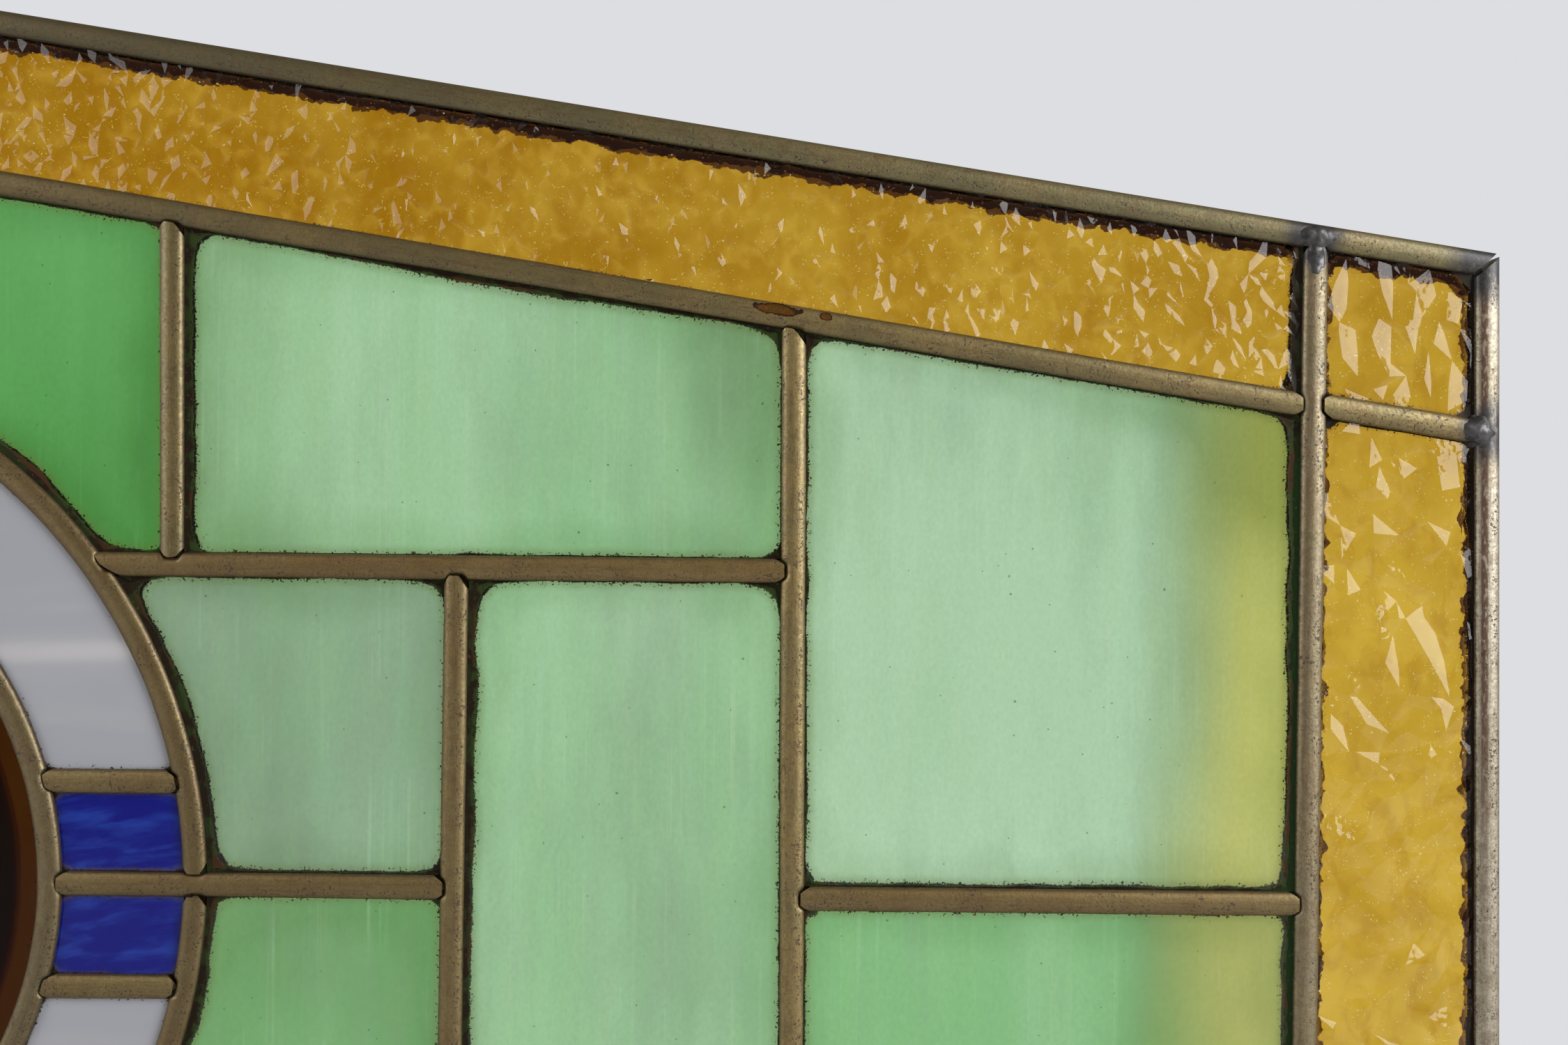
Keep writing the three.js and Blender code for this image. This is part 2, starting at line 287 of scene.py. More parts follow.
def plain_cut(cut):
    """A straight end that presses on nothing."""
    return {"cut": cut, "on": None, "near": (1, 1), "corners": ()}


def mitre(own, other, gap, inside):
    """The cut of one track of the frame where it meets another."""
    a, b = lines[own], lines[other]
    corner = crossing(a, b, inside)
    arms = [direction(t) * math.copysign(1, (np.asarray(inside) - corner) @ direction(t)) for t in (a, b)]
    middle = corner + 100 * arms[0]
    return plain_cut(towards(line(corner, corner + arms[0] + arms[1]), middle, gap / 2))


def stations_of(s0, s1, notches, shaped):
    """Where a came's sections lie: closer together where it is shaped."""
    places = [np.linspace(s0, s1, max(2, math.ceil((s1 - s0) / station) + 1))]
    if shaped:
        near = np.array([0.4, 0.8, 1.3, 1.9, 2.6, 3.4, 4.2])
        places += [s0 + near, s1 - near]
    places += [s + np.arange(-3.5, 3.51, fine_station) for s, _, _ in notches]
    merged = np.unique(np.concatenate(places))
    merged = merged[(merged >= s0) & (merged <= s1)]
    kept = [merged[0]]
    for place in merged[1:-1]:
        if place - kept[-1] > 0.2 and merged[-1] - place > 0.2:
            kept.append(place)
    return np.array(kept + [merged[-1]])


def pressed(s, u, notches):
    """Sections with a flank pushed in where the end of another came is pressed on it."""
    inward = np.zeros(np.broadcast(s, u).shape)
    for at, side, push in notches:
        near = 1 - smoothstep(nose_tip - 0.1, nose_tip + 1.5, np.abs(s - at))
        inward = np.maximum(inward, push * near * (np.sign(u) == side))
    return u * (1 - inward / half_width)


def came_mesh(track, start, end, notches, inner, seed, side):
    """Points, faces and attributes of a came, in the right half or as a whole piece."""
    section = came_section(inner)
    u, v = section[None, :, 0], section[None, :, 1]
    closed = start is None
    if closed:
        s0, s1 = 0.0, math.tau * track
    else:
        s0, s1 = (along(track, crossing(track, e["cut"], e["near"])) for e in (start, end))
    places = stations_of(s0, s1, notches, not closed)
    if closed:
        places = places[:-1]
    s = np.repeat(places[:, None], len(section), 1)
    for stop, edge, sign in ((start, s0, 1), (end, s1, -1)):
        if stop is None:
            continue
        cut = np.array([
            along(track, crossing(beside(track, w), stop["cut"], stop["near"])) for w in section[:, 0]
        ])
        for (across, back), w in zip(stop["corners"], (section[:, 0], -section[:, 0])):
            cut += sign * back * np.clip((w - half_width) / across + 1, 0, 1) ** 1.2
        zone = np.clip(1 - np.abs(places - edge) / bend_zone, 0, 1)[:, None]
        s = s + zone * (cut - edge)
    moved = pressed(s, np.repeat(u, len(places), 0), notches)
    waver = 0.0 if inner else 1.0  # the frame runs true
    wander = sway * noise(places, seed * 7.3, 38, seed) + tremor * noise(places, seed * 3.1, 9, seed + 1)
    swell = 1 + waver * swelling * noise(places, seed * 5.7, 26, seed + 2)
    flat = spot(track, s, moved * swell[:, None] ** 0.4 + waver * wander[:, None])
    depth = np.repeat(v, len(places), 0)
    rise = np.sign(depth) * np.maximum(0, np.abs(depth) - half_lip)
    depth = depth - rise * (1 - np.minimum(1, swell[:, None] * 0.97))
    points = np.stack([flat[..., 0] * side, depth, flat[..., 1]], -1).reshape(-1, 3)
    faces = grid_faces(len(places), len(section), ring_rows=closed)
    if not closed:
        cap = tessellate_polygon([[Vector((p[0], p[1], 0)) for p in section]])
        # Its triangles are turned to run counterclockwise in the section, so the cap faces backwards.
        turns = [np.linalg.det([section[b] - section[a], section[c] - section[a]]) for a, b, c in cap]
        cap = [t if turn > 0 else t[::-1] for t, turn in zip(cap, turns)]
        last = (len(places) - 1) * len(section)
        faces += [tuple(t) for t in cap] + [tuple(last + k for k in t[::-1]) for t in cap]
    return points, faces, {"across": np.repeat(u / half_width, len(places), 0), "along": s / along_unit}


# Every came of the right half: its lead line, the cut at its start and at its end, and its tone, from 0 for
# dull olive by 0.5 for khaki to 1 for brown.
inside, outside, right_side = (1, 0), (500, 0), (1, 1)
ring_upper, ring_lower = (200, rail_offset), (200, -rail_offset)  # near where the rails meet the outer ring
half_cames = {
    "frame_side": (
        "side", mitre("side", "foot", fine_gap, inside), mitre("side", "gable", corner_gap, inside), 0.4,
    ),
    "frame_gable": (
        "gable", plain_cut(beside(lines["centre"], -fine_gap / 2)),
        mitre("gable", "side", corner_gap, inside), 0.05,
    ),
    "border_side": ("border_side", nose("foot", inside), nose("gable", inside), 0.45),
    "border_gable": ("border_gable", nose("centre", right_side), nose("border_side", inside, 0.3), 0.35),
    "border_foot": ("border_foot", nose("centre", right_side), nose("border_side", inside), 0.9),
    "corner_came_upper": (
        "corner_upper", nose("border_side", outside, 1.0), nose("side", inside, 0.4), 0.4,
    ),
    "corner_came_lower": ("border_foot", nose("border_side", outside), nose("side", inside), 0.5),
    "outer_post": (
        "outer_post", nose("border_foot", inside),
        nose("border_gable", inside, 0.5, (1, 1.3), (3.4, 3.7)), 0.45,
    ),
    "inner_post": (
        "inner_post", nose("lower_rail", inside),
        nose("upper_rail", inside, 1.3, (1.5, 2.7), (2.6, 3.7)), 0.55,
    ),
    "upper_post": (
        "upper_post", nose("upper_rail", (130, 150), 1.5, (2.1, 2.4), (2.1, 2.4)),
        nose("border_gable", inside, 0.6, (1.6, 2), (2.2, 3)), 0.3,
    ),
    "lower_post": ("lower_post", nose("border_foot", inside), nose("lower_rail", (130, -150)), 0.5),
    "upper_rail": (
        "upper_rail", nose("outer_ring", ring_upper, 1.2, (0.8, 0.6), (3.2, 3.2)),
        nose("outer_post", inside, 1.2), 0.85,
    ),
    "lower_rail": (
        "lower_rail", nose("outer_ring", ring_lower, 1.2, (3.2, 3.2), (0.8, 0.6)),
        nose("outer_post", inside, 1.2), 0.8,
    ),
    "side_rail": ("side_rail", nose("outer_post", outside), nose("border_side", inside), 0.8),
    "axis_side": ("axis", nose("inner_ring", outside), nose("inner_post", inside), 0.75),
    "arc_upper": ("outer_ring", nose("axis", (140, 50), 0.4), nose("centre", (50, 140), 0.4), 0.6),
    "arc_lower": ("outer_ring", nose("centre", (50, -140), 0.4), nose("axis", (140, -50), 0.4), 0.6),
    "block_above": (
        "block_above", nose("inner_ring", outside), nose("outer_ring", (110, block_offset)), 0.6,
    ),
    "block_below": (
        "block_below", nose("inner_ring", outside), nose("outer_ring", (110, -block_offset)), 0.6,
    ),
    "block_top": (
        "block_beside", nose("inner_ring", (block_offset, 200)),
        nose("outer_ring", (block_offset, 110)), 0.6,
    ),
    "block_foot": (
        "block_beside", nose("outer_ring", (block_offset, -110)),
        nose("inner_ring", (block_offset, -200)), 0.6,
    ),
}
whole_cames = {
    "frame_foot": ("foot", None, None, 0.5),
    "ring_inner": ("inner_ring", None, None, 0.45),
    "axis_top": ("centre", nose("inner_ring", (0, 200)), nose("gable", inside), 0.6),
    "axis_foot": ("centre", nose("foot", inside), nose("inner_ring", (0, -200)), 0.6),
}
# Painted shade: a factor on each came's colour for how the light falls on it, 60 mm and 300 mm out from the
# middle of the panel.
plain_painted_shade = (0.8, 0.8)
painted_shades = {
    "frame_gable": (0.36, 1.0), "border_gable": (0.58, 0.88), "upper_rail": (0.70, 1.0),
    "axis_side": (0.77, 0.77), "arc_upper": (0.62, 0.68), "arc_lower": (0.62, 0.68),
    "ring_inner": (0.6, 0.6), "outer_post": (1.05, 1.05), "upper_post": (0.85, 0.85),
    "border_side": (0.74, 0.74), "frame_side": (0.72, 0.72), "corner_came_upper": (1.0, 1.0),
}
# How far the patina is rubbed off a came, where it is at all.
worn = {"frame_side": 1.0, "border_side": 0.28, "ring_inner": 0.12, "frame_gable": 0.06}
# The cames that share a node of the frame. Each of the others has its own.
node_of = {
    **dict.fromkeys((
        "outer_post", "inner_post", "upper_post", "lower_post", "upper_rail", "lower_rail", "side_rail",
    ), "lattice_"),
    **dict.fromkeys((
        "axis_side", "arc_upper", "arc_lower", "block_above", "block_below", "block_top", "block_foot",
        "axis_top", "axis_foot",
    ), "rosette_cames"),
}


def all_notches():
    """For each lead line, the points where noses press on it, and which side of it each one comes from."""
    found = {}
    for own, start, end, _ in {**half_cames, **whole_cames}.values():
        for stop in (start, end):
            if stop and stop["on"]:
                other = lines[stop["on"]]
                point = crossing(lines[own], stop["cut"], stop["near"])
                side = math.copysign(1, offset_of(other, point))
                found.setdefault(stop["on"], []).append((point, side, stop["push"]))
    return found


gable_joint = crossing(lines["border_side"], lines["gable"], inside)
side_joint = crossing(lines["corner_upper"], lines["side"], inside)
gable_corner = crossing(lines["side"], lines["gable"], inside)
foot_joint = crossing(lines["border_side"], lines["foot"], inside)
lower_joint = crossing(lines["border_foot"], lines["side"], inside)
heated = [(gable_joint, 10), (side_joint, 10), (gable_corner, 13), (foot_joint, 9), (lower_joint, 9)]


def tinned(x, z):
    """How grey with heat and solder a came is, from 0 to 1."""
    return np.max([
        1 - smoothstep(0.5 * reach, reach, np.hypot(x - p[0], z - p[1]) + 1.5 * noise(x, z, 4, 77))
        for p, reach in heated
    ], 0)


def build_cames(material):
    """Every length of came as a piece of its own, each with its own wear."""
    notches = all_notches()
    for number, (name, (own, start, end, tone)) in enumerate({**half_cames, **whole_cames}.items()):
        track = lines[own]
        whole = name in whole_cames
        on_it = [(along(track, p), side, push) for p, side, push in notches.get(own, [])]
        if whole and is_ring(track):
            on_it += [(along(track, (-p[0], p[1])), side, push) for p, side, push in notches[own]]
        elif whole and own == "centre":
            on_it += [(s, -side, push) for s, side, push in on_it]
        elif whole:
            on_it += [(-s, side, push) for s, side, push in on_it]
        if name == "frame_foot":
            end = mitre("foot", "side", fine_gap, inside)
            start = plain_cut((end["cut"][0] * (-1, 1), end["cut"][1] * (-1, 1)))
        inner = {"frame_side": 1, "frame_gable": -1, "frame_foot": 1}.get(name, 0)
        for side, ending in ((1, "_right"), (-1, "_left")):
            if whole and side < 0:
                continue
            node = node_of.get(name, name if whole else name + "_")
            points, faces, attributes = came_mesh(
                track, start, end, on_it, inner, number * 2 + (side < 0), side,
            )
            if side < 0:
                faces = [face[::-1] for face in faces]
            attributes["tone"] = np.full(len(points), tone)
            attributes["shade"] = np.interp(np.abs(points[:, 0]), (60, 300), painted_shades.get(name, plain_painted_shade))
            attributes["worn"] = np.full(len(points), worn.get(name, 0.0))
            attributes["tin"] = tinned(np.abs(points[:, 0]), np.abs(points[:, 2]))
            make_piece(
                "came_" + name + ("" if whole else ending), points, faces, material, "came",
                [node + ending[1:] if node.endswith("_") else node], attributes,
            )


# ---- Glass ----

panes = {
    "green_crown": ((70, 155), ("outer_ring", "upper_rail", "upper_post", "border_gable", "centre")),
    "green_foot": ((70, -170), ("border_foot", "lower_post", "lower_rail", "outer_ring", "centre")),
    "green_upper": ((215, 120), ("upper_rail", "outer_post", "border_gable", "upper_post")),
    "green_lower": ((215, -140), ("border_foot", "outer_post", "lower_rail", "lower_post")),
    "green_tall_upper": ((365, 70), ("side_rail", "border_side", "border_gable", "outer_post")),
    "green_tall_lower": ((365, -100), ("border_foot", "border_side", "side_rail", "outer_post")),
    "green_ring_upper": ((175, 40), ("axis", "inner_post", "upper_rail", "outer_ring")),
    "green_ring_lower": ((175, -40), ("lower_rail", "inner_post", "axis", "outer_ring")),
    "green_middle": ((253, 0), ("lower_rail", "outer_post", "upper_rail", "inner_post")),
    "amber_gable": ((215, 185), ("border_gable", "border_side", "gable", "centre")),
    "amber_foot": ((215, -219), ("foot", "border_side", "border_foot", "centre")),
    "amber_side": ((456, -30), ("border_foot", "side", "corner_upper", "border_side")),
    "amber_corner_upper": ((456, 150), ("corner_upper", "side", "gable", "border_side")),
    "amber_corner_lower": ((456, -219), ("foot", "side", "border_foot", "border_side")),
    "white_upper": ((86, 86), ("inner_ring", "block_above", "outer_ring", "block_beside")),
    "white_lower": ((86, -86), ("inner_ring", "block_beside", "outer_ring", "block_below")),
    "blue_side_upper": ((121, 13), ("axis", "outer_ring", "block_above", "inner_ring")),
    "blue_side_lower": ((121, -13), ("axis", "inner_ring", "block_below", "outer_ring")),
    "blue_top": ((13, 121), ("inner_ring", "block_beside", "outer_ring", "centre")),
    "blue_foot": ((13, -121), ("inner_ring", "centre", "outer_ring", "block_beside")),
}


def corners_of(point, tracks, inset):
    """The tracks round a point, moved in towards it, and where each one crosses the one before it."""
    edges = [towards(lines[t], point, inset) for t in tracks]
    return edges, [crossing(edges[i - 1], edges[i], point) for i in range(len(edges))]


def side_points(edge, start, end, pitch):
    """Points from one corner towards the next, without the last."""
    if is_ring(edge):
        a = math.atan2(start[1], start[0])
        turn = math.atan2(end[1], end[0]) - a
        turn = math.atan2(math.sin(turn), math.cos(turn))
        count = max(2, math.ceil(abs(turn) * edge / pitch))
        angles = a + turn * np.arange(count) / count
        return np.stack([np.cos(angles), np.sin(angles)], -1) * edge
    count = max(1, math.ceil(np.hypot(*(end - start)) / pitch))
    return start + (end - start) * (np.arange(count) / count)[:, None]


def spots_between(low, high, pitch):
    """Rows of points over a rectangle, each row half a step from the last."""
    rows = np.arange(low[1], high[1], pitch * 0.866)
    columns = np.arange(low[0], high[0], pitch)
    x, z = np.meshgrid(columns, rows)
    x = x + (np.arange(len(rows)) % 2)[:, None] * pitch / 2
    i, j = np.meshgrid(np.arange(len(columns)), np.arange(len(rows)))
    moved = [pitch * 0.2 * (chance(i, j, seed) - 0.5) for seed in (31, 32)]
    return np.stack([(x + moved[0]).ravel(), (z + moved[1]).ravel()], -1)


def pane_outline(point, tracks, pitch):
    """The outline of a pane, and a call that tells how far points lie inside it."""
    edges, corners = corners_of(point, tracks, pane_edge)
    signs = [math.copysign(1, offset_of(e, point)) for e in edges]
    sides = []
    for i, (edge, sign) in enumerate(zip(edges, signs)):
        ring = is_ring(edge)
        side = side_points(edge, corners[i], corners[(i + 1) % len(edges)], pitch if ring else 2 * pitch)
        if not ring:  # bowed out by a hair, so that no three of its points are in line
            t = np.arange(len(side)) / len(side)
            side = side - left_of(edge) * sign * (0.6 * t * (1 - t))[:, None]
        sides.append(side)
    outline = np.concatenate(sides).astype(np.float32).astype(float)
    return outline, lambda spots: np.min([offset_of(e, spots) * s for e, s in zip(edges, signs)], 0)


def disc_outline(pitch):
    """As pane_outline, for the disc in the inner ring."""
    radius = lines["inner_ring"] - pane_edge
    count = math.ceil(math.tau * radius / pitch)
    angles = np.arange(count) * math.tau / count
    outline = np.stack([np.cos(angles), np.sin(angles)], -1) * radius
    return outline, lambda spots: radius - np.hypot(spots[:, 0], spots[:, 1])


def within(outline, points):
    """Whether points lie inside an outline."""
    x, z = points[:, :1], points[:, 1:]
    a, b = outline, np.roll(outline, -1, 0)
    crossed = (a[:, 1] > z) != (b[:, 1] > z)
    slope = (b[:, 0] - a[:, 0]) / np.where(a[:, 1] == b[:, 1], 1, b[:, 1] - a[:, 1])
    return np.sum(crossed & (x < a[:, 0] + (z - a[:, 1]) * slope), 1) % 2 == 1


def sheet_mesh(outline, inner, spots, back_pitch, relief):
    """A closed sheet of glass: a front with these spots in it, raised by the relief, and a flat back."""
    count = len(outline)
    sides = []
    rear_spots = spots_between(outline.min(0), outline.max(0), back_pitch)
    for spots, margin in ((spots, 0.8), (rear_spots, back_pitch * 0.6)):
        spots = spots[inner(spots) > margin]
        flat = [Vector(p) for p in np.concatenate([outline, spots])]
        found = delaunay_2d_cdt(flat, [], [list(range(count))], 1, 1e-6, False)
        flat = np.array([tuple(p) for p in found[0]])
        # Delaunay also fills the hollows of an outline, and those faces are left out.
        kept = within(outline, np.array([flat[list(face)].mean(0) for face in found[2]]))
        sides.append((flat, [face for face, keep in zip(found[2], kept) if keep]))
    (front, front_faces), (rear, rear_faces) = sides
    points = np.concatenate([
        np.stack([front[:, 0], -glass_face + relief(front), front[:, 1]], -1),
        np.stack([rear[:, 0], np.full(len(rear), glass_face), rear[:, 1]], -1),
    ])
    back = len(front)
    faces = [tuple(f) for f in front_faces]
    faces += [tuple(back + k for k in f[::-1]) for f in rear_faces]
    faces += [(i, back + i, back + (i + 1) % count, (i + 1) % count) for i in range(count)]
    return points, faces


# ---- The edge of the cement, which the glass and the beads share ----

# How wide it shows along the left and the right of a came. Below nought it lies hidden in the channel.
cement_widths = {
    "outer_ring": (-1.0, 1.7), "inner_ring": (-0.6, -0.6), "upper_post": (-0.2, 1.9),
    "inner_post": (0.0, 1.8), "outer_post": (0.1, 0.5), "border_side": (2.3, -0.2),
    "border_gable": (-0.9, 0.3), "gable": (0, -0.4), "side": (0.5, 0), "upper_rail": (-0.1, 0.25),
    "side_rail": (0.5, 0.15), "axis": (0.2, 0.1), "lower_post": (0.0, 1.2), "lower_rail": (0.2, 0.0),
    "border_foot": (0.3, -0.2), "foot": (0.1, 0), "centre": (0.1, 0.1), "corner_upper": (-0.2, -0.1),
    **dict.fromkeys(("block_above", "block_below", "block_beside"), (-0.3, -0.3)),
}
# Where more of it was pushed in, in corners and under the gable's border: the place, how much wider it is
# there, and how far that reaches.
fills = [
    (292.8, 149.2, 2.7, 3.6), (301.4, 148, 1.8, 2.6), (204.3, 81, 1.8, 3), (213.5, 81, 1.8, 4.2),
    (293.8, 81, 2.4, 3.8), (120, 81, 2.8, 4.6), (137, 173.2, 2.4, 3), (137, 88, 1.3, 2.6),
    (429.5, 126, 1.8, 3.4), (146, 2, 1.6, 3), (205, 2, 1.4, 2.6), (301, 1.5, 1.2, 2),
    (429.5, 1.5, 1.3, 2.6), (294, 88, 0.8, 2), (437.5, 125, 1.2, 2.4), (178, 157.8, 0.8, 8),
    (195, 155, 1.2, 8), (212, 152.4, 1.5, 8), (229, 149.7, 1.6, 8), (246, 147, 1.3, 8),
    (263, 144.2, 0.9, 8),
]


def cement_width(came, on_left, x, z):
    """How far the cement reaches from a came's flank, beside points (x, z)."""
    width = cement_widths[came][0 if on_left else 1]
    width = width + (0.15 + 0.35 * abs(width)) * noise(x, z, 9, 51) + 0.15 * noise(x, z, 2.8, 52)
    for at_x, at_z, extra, reach in fills:
        width = width + extra * np.exp(-((x - at_x) ** 2 + (z - at_z) ** 2) / (2 * reach**2))
    return width


def distances(points, tracks, point):
    """For each side of a pane, how far points lie from its came's flank."""
    sides = [math.copysign(1, offset_of(lines[t], point)) for t in tracks]
    return [offset_of(lines[t], points) * side - half_width for t, side in zip(tracks, sides)]


def nearest(values, ease=1.2):
    """The least of some distances, with round corners."""
    return -ease * np.log(np.sum([np.exp(-np.clip(d, -8, 60) / ease) for d in values], 0))


def rim_of(points, tracks, point):
    """How far points lie outside the cement along the sides of a pane."""
    x, z = points[:, 0], points[:, 1]
    return nearest([
        d - cement_width(t, offset_of(lines[t], point) > 0, x, z)
        for t, d in zip(tracks, distances(points, tracks, point))
    ])


# ---- Masks and relief of the glass ----


def facet_points(low, high, step, lean, seed):
    """Points about a step apart each way, moved at random, in columns that lean over."""
    count = np.ceil((np.asarray(high) - low) / step).astype(int) + 2
    shift = math.ceil(abs(lean) * (high[1] - low[1]) / step[0])
    i, j = np.meshgrid(np.arange(-shift, count[0] + shift), np.arange(-1, count[1]))
    x = low[0] + (i + 0.5 * (j % 2) + 0.9 * (chance(i, j, seed) - 0.5)) * step[0]
    z = low[1] + (j + 0.9 * (chance(i, j, seed + 1) - 0.5)) * step[1]
    return np.stack([(x - lean * (z - low[1])).ravel(), z.ravel()], -1)


def facet_height(points, tracks, point, high):
    """The random heights of the points of a hammered face, even at the edges."""
    x, z = points[:, 0], points[:, 1]
    random = chance(np.round(x * 9).astype(np.int64), np.round(z * 9).astype(np.int64), 7)
    inward = nearest(distances(points, tracks, point))
    return high * (2 * random - 1) * smoothstep(-2, 0.8, inward) + 0.12 * noise(x, z, 14, 8)


# How pale, smoky and deep the green of each pane is, from 0 to 1, and how much paler it grows over 100 mm
# upwards.
green_moods = {
    "crown": (0.38, 0.05, 0.38, 0.5), "foot": (0.35, 0.1, 0.35, 0.0), "upper": (0.42, 0.05, 0.0, 0.1),
    "lower": (0.40, 0.15, 0.1, 0.0), "tall_upper": (0.92, 0.0, 0.0, 0.0),
    "tall_lower": (-0.12, 0.0, 0.05, 0.0), "ring_upper": (0.25, 0.8, 0.0, 0.0),
    "ring_lower": (0.0, 0.0, 0.6, 0.0), "middle": (0.45, 0.12, 0.0, 0.3),
}
# Deeper and smokier places, partly darker glass and partly painted shadow of the cames behind the panel:
# where, how far each way, and how much.
clouds = [
    (281, 138, 12, 17, 0.9), (283, 108, 9, 24, 0.45), (419, 112, 14, 16, 1.3), (150, 150, 16, 30, 0.25),
    (150, 96, 14, 10, 0.35), (120, 108, 22, 16, 0.35), (255, 30, 14, 22, 0.3), (270, -20, 12, 18, 0.35),
    (160, 25, 10, 30, 0.5), (195, -30, 10, 20, 0.3), (402, 60, 9, 22, 0.45), (163, -22, 14, 12, 0.3),
    (145, 140, 16, 60, 0.35), (392, -60, 10, 60, 0.5), (421, -60, 9, 60, 0.3), (412, 128, 22, 9, 0.4),
]


amber_light_band = (384, 416)  # painted light: where the tall panes show amber light that came through the amber border, in millimetres out
came_shadow_seam = (399, 8)  # the middle and the width of the deeper streak in that band, a painted shadow of the border's side came


def green_masks(name, x, z, inward):
    """How pale, smoky and deep the green glass is at points (x, z), with painted shade near the cames and
    painted shadows, and how much amber light is painted on it.
    """
    pale, smoke, deep, fade = green_moods[name.removeprefix("green_")]
    seed = 60 + len(name)
    drift = noise(x, z * 0.45, 52, seed) + 0.5 * noise(x, z * 0.35, 21, seed + 1)
    pale = pale + 0.22 * drift + fade * (z - np.mean(z)) / 100
    smoke = smoke + 0.28 * noise(x, z * 0.5, 33, seed + 2) + 0.12 * noise(x, z * 0.3, 11, seed + 3)
    # Painted shade, with some grime: darker within about 15 mm of the cames.
    edge = 1 - smoothstep(0, 15, inward + 3 * noise(x, z, 14, seed + 4))
    deep = deep + 0.5 * edge - 0.1
    for at_x, at_z, across, high, much in clouds:
        cloud = much * np.exp(-(((x - at_x) / across) ** 2 + ((z - at_z) / high) ** 2) / 2)
        deep, smoke = deep + cloud * 0.8, smoke + cloud * 0.3
    # Painted light and shadow in the tall panes: a band of amber light, the border's side came's shadow as
    # a deeper streak in it, and deeper still beyond it in the lower pane.
    outward = x - 0.05 * z + 4 * noise(x, z * 0.4, 20, 71)
    tall, tall_lower = "tall" in name, name == "green_tall_lower"
    gold = smoothstep(*amber_light_band, outward) * tall
    shadow_seam = np.exp(-(((outward - came_shadow_seam[0]) / came_shadow_seam[1]) ** 2) / 2)
    deep = deep + shadow_seam * (0.3 * tall + 0.25 * tall_lower)
    deep = deep + 0.3 * smoothstep(398, 412, outward) * tall_lower
    return {"pale": pale, "smoke": smoke, "deep": deep, "gold": gold}


shaded_edge_widths = {"gable": 3.1, "side": 1.9, "border_side": 1.0, "foot": 1.5}  # their widths: painted shade of the came's back seen through the glass, with old cement
no_edge = -5.0


def amber_masks(points, tracks, point, depth):
    """How thin the amber glass is, and how far points lie within the dark edge along its channel: painted
    shade of the came's back seen through the glass, with old cement.
    """
    dark = np.full(len(points), no_edge)
    for t, d in zip(tracks, distances(points, tracks, point)):
        dark = np.maximum(dark, shaded_edge_widths.get(t, no_edge) - d)
    return {"thin": np.where(depth < 0, depth + glass_face, 0), "dark": dark}


amber_crease = 2  # degrees, so that each facet is flat
broad_from = 400  # millimetres out, where the hammered pattern is broader
rear_pitch = 4.5  # between the points of a pane's back
# The facets of hammered glass: how far apart their corners are each way, how they lean, and their height.
facets = {"fine": ((2.1, 2.4), 0.2, 0.44), "broad": ((3.6, 6.0), 0.35, 0.62)}


def build_pane(name, point, tracks, finish_of):
    """The pane round a point between these tracks, and its mirror image."""
    kind = name.split("_")[0]
    slot = kind + "_glass"
    if name in ("green_crown", "green_foot"):
        slot = "deep_green_glass"
    outline, inner = pane_outline(point, tracks, pane_pitch)
    low, high = outline.min(0), outline.max(0)
    if kind == "amber":
        step, lean, height = facets["broad" if low[0] > broad_from else "fine"]
        spots = facet_points(low, high, step, lean, 40)
    else:
        spots = spots_between(low, high, pane_pitch)

    def relief(p):
        if kind == "amber":
            return facet_height(p, tracks, point, height)
        return 0.10 * noise(p[:, 0], p[:, 1], 31, 4)

    points, faces = sheet_mesh(outline, inner, spots, rear_pitch, relief)
    flat = points[:, [0, 2]]
    attributes = {"rim": rim_of(flat, tracks, point)}
    if kind == "amber":
        attributes |= amber_masks(flat, tracks, point, points[:, 1])
    if kind == "green":
        inward = nearest(distances(flat, tracks, point))
        attributes |= green_masks(name, flat[:, 0], flat[:, 1], inward)
    crease = amber_crease if kind == "amber" else plain_crease
    make_pair("pane_" + name, points, faces, finish_of[slot], slot, "glass_" + name, attributes, crease)


def build_panes(finish_of):
    """The panes of both halves, and the disc in the middle."""
    for name, (point, tracks) in panes.items():
        build_pane(name, point, tracks, finish_of)
    outline, inner = disc_outline(pane_pitch)
    spots = spots_between(outline.min(0), outline.max(0), 4)
    points, faces = sheet_mesh(outline, inner, spots, 6, lambda p: 0.06 * noise(p[:, 0], p[:, 1], 25, 9))
    rim = lines["inner_ring"] - half_width - np.hypot(points[:, 0], points[:, 2])
    slot = "brown_glass"
    make_piece("pane_disc", points, faces, finish_of[slot], slot, ["glass_disc"], {"rim": rim})


# ---- Cement ----

cement_top = 2.25  # how far from the panel's middle it touches a came's flank
cement_foot = 1.42  # and where a bead ends, just within the pane
cement_foot_amber = 0.9  # deeper, below the hollows of the hammered face
bead_share, bead_limit = 0.6, 1.5  # how much of the cement's width stands up as a bead, and the most it may


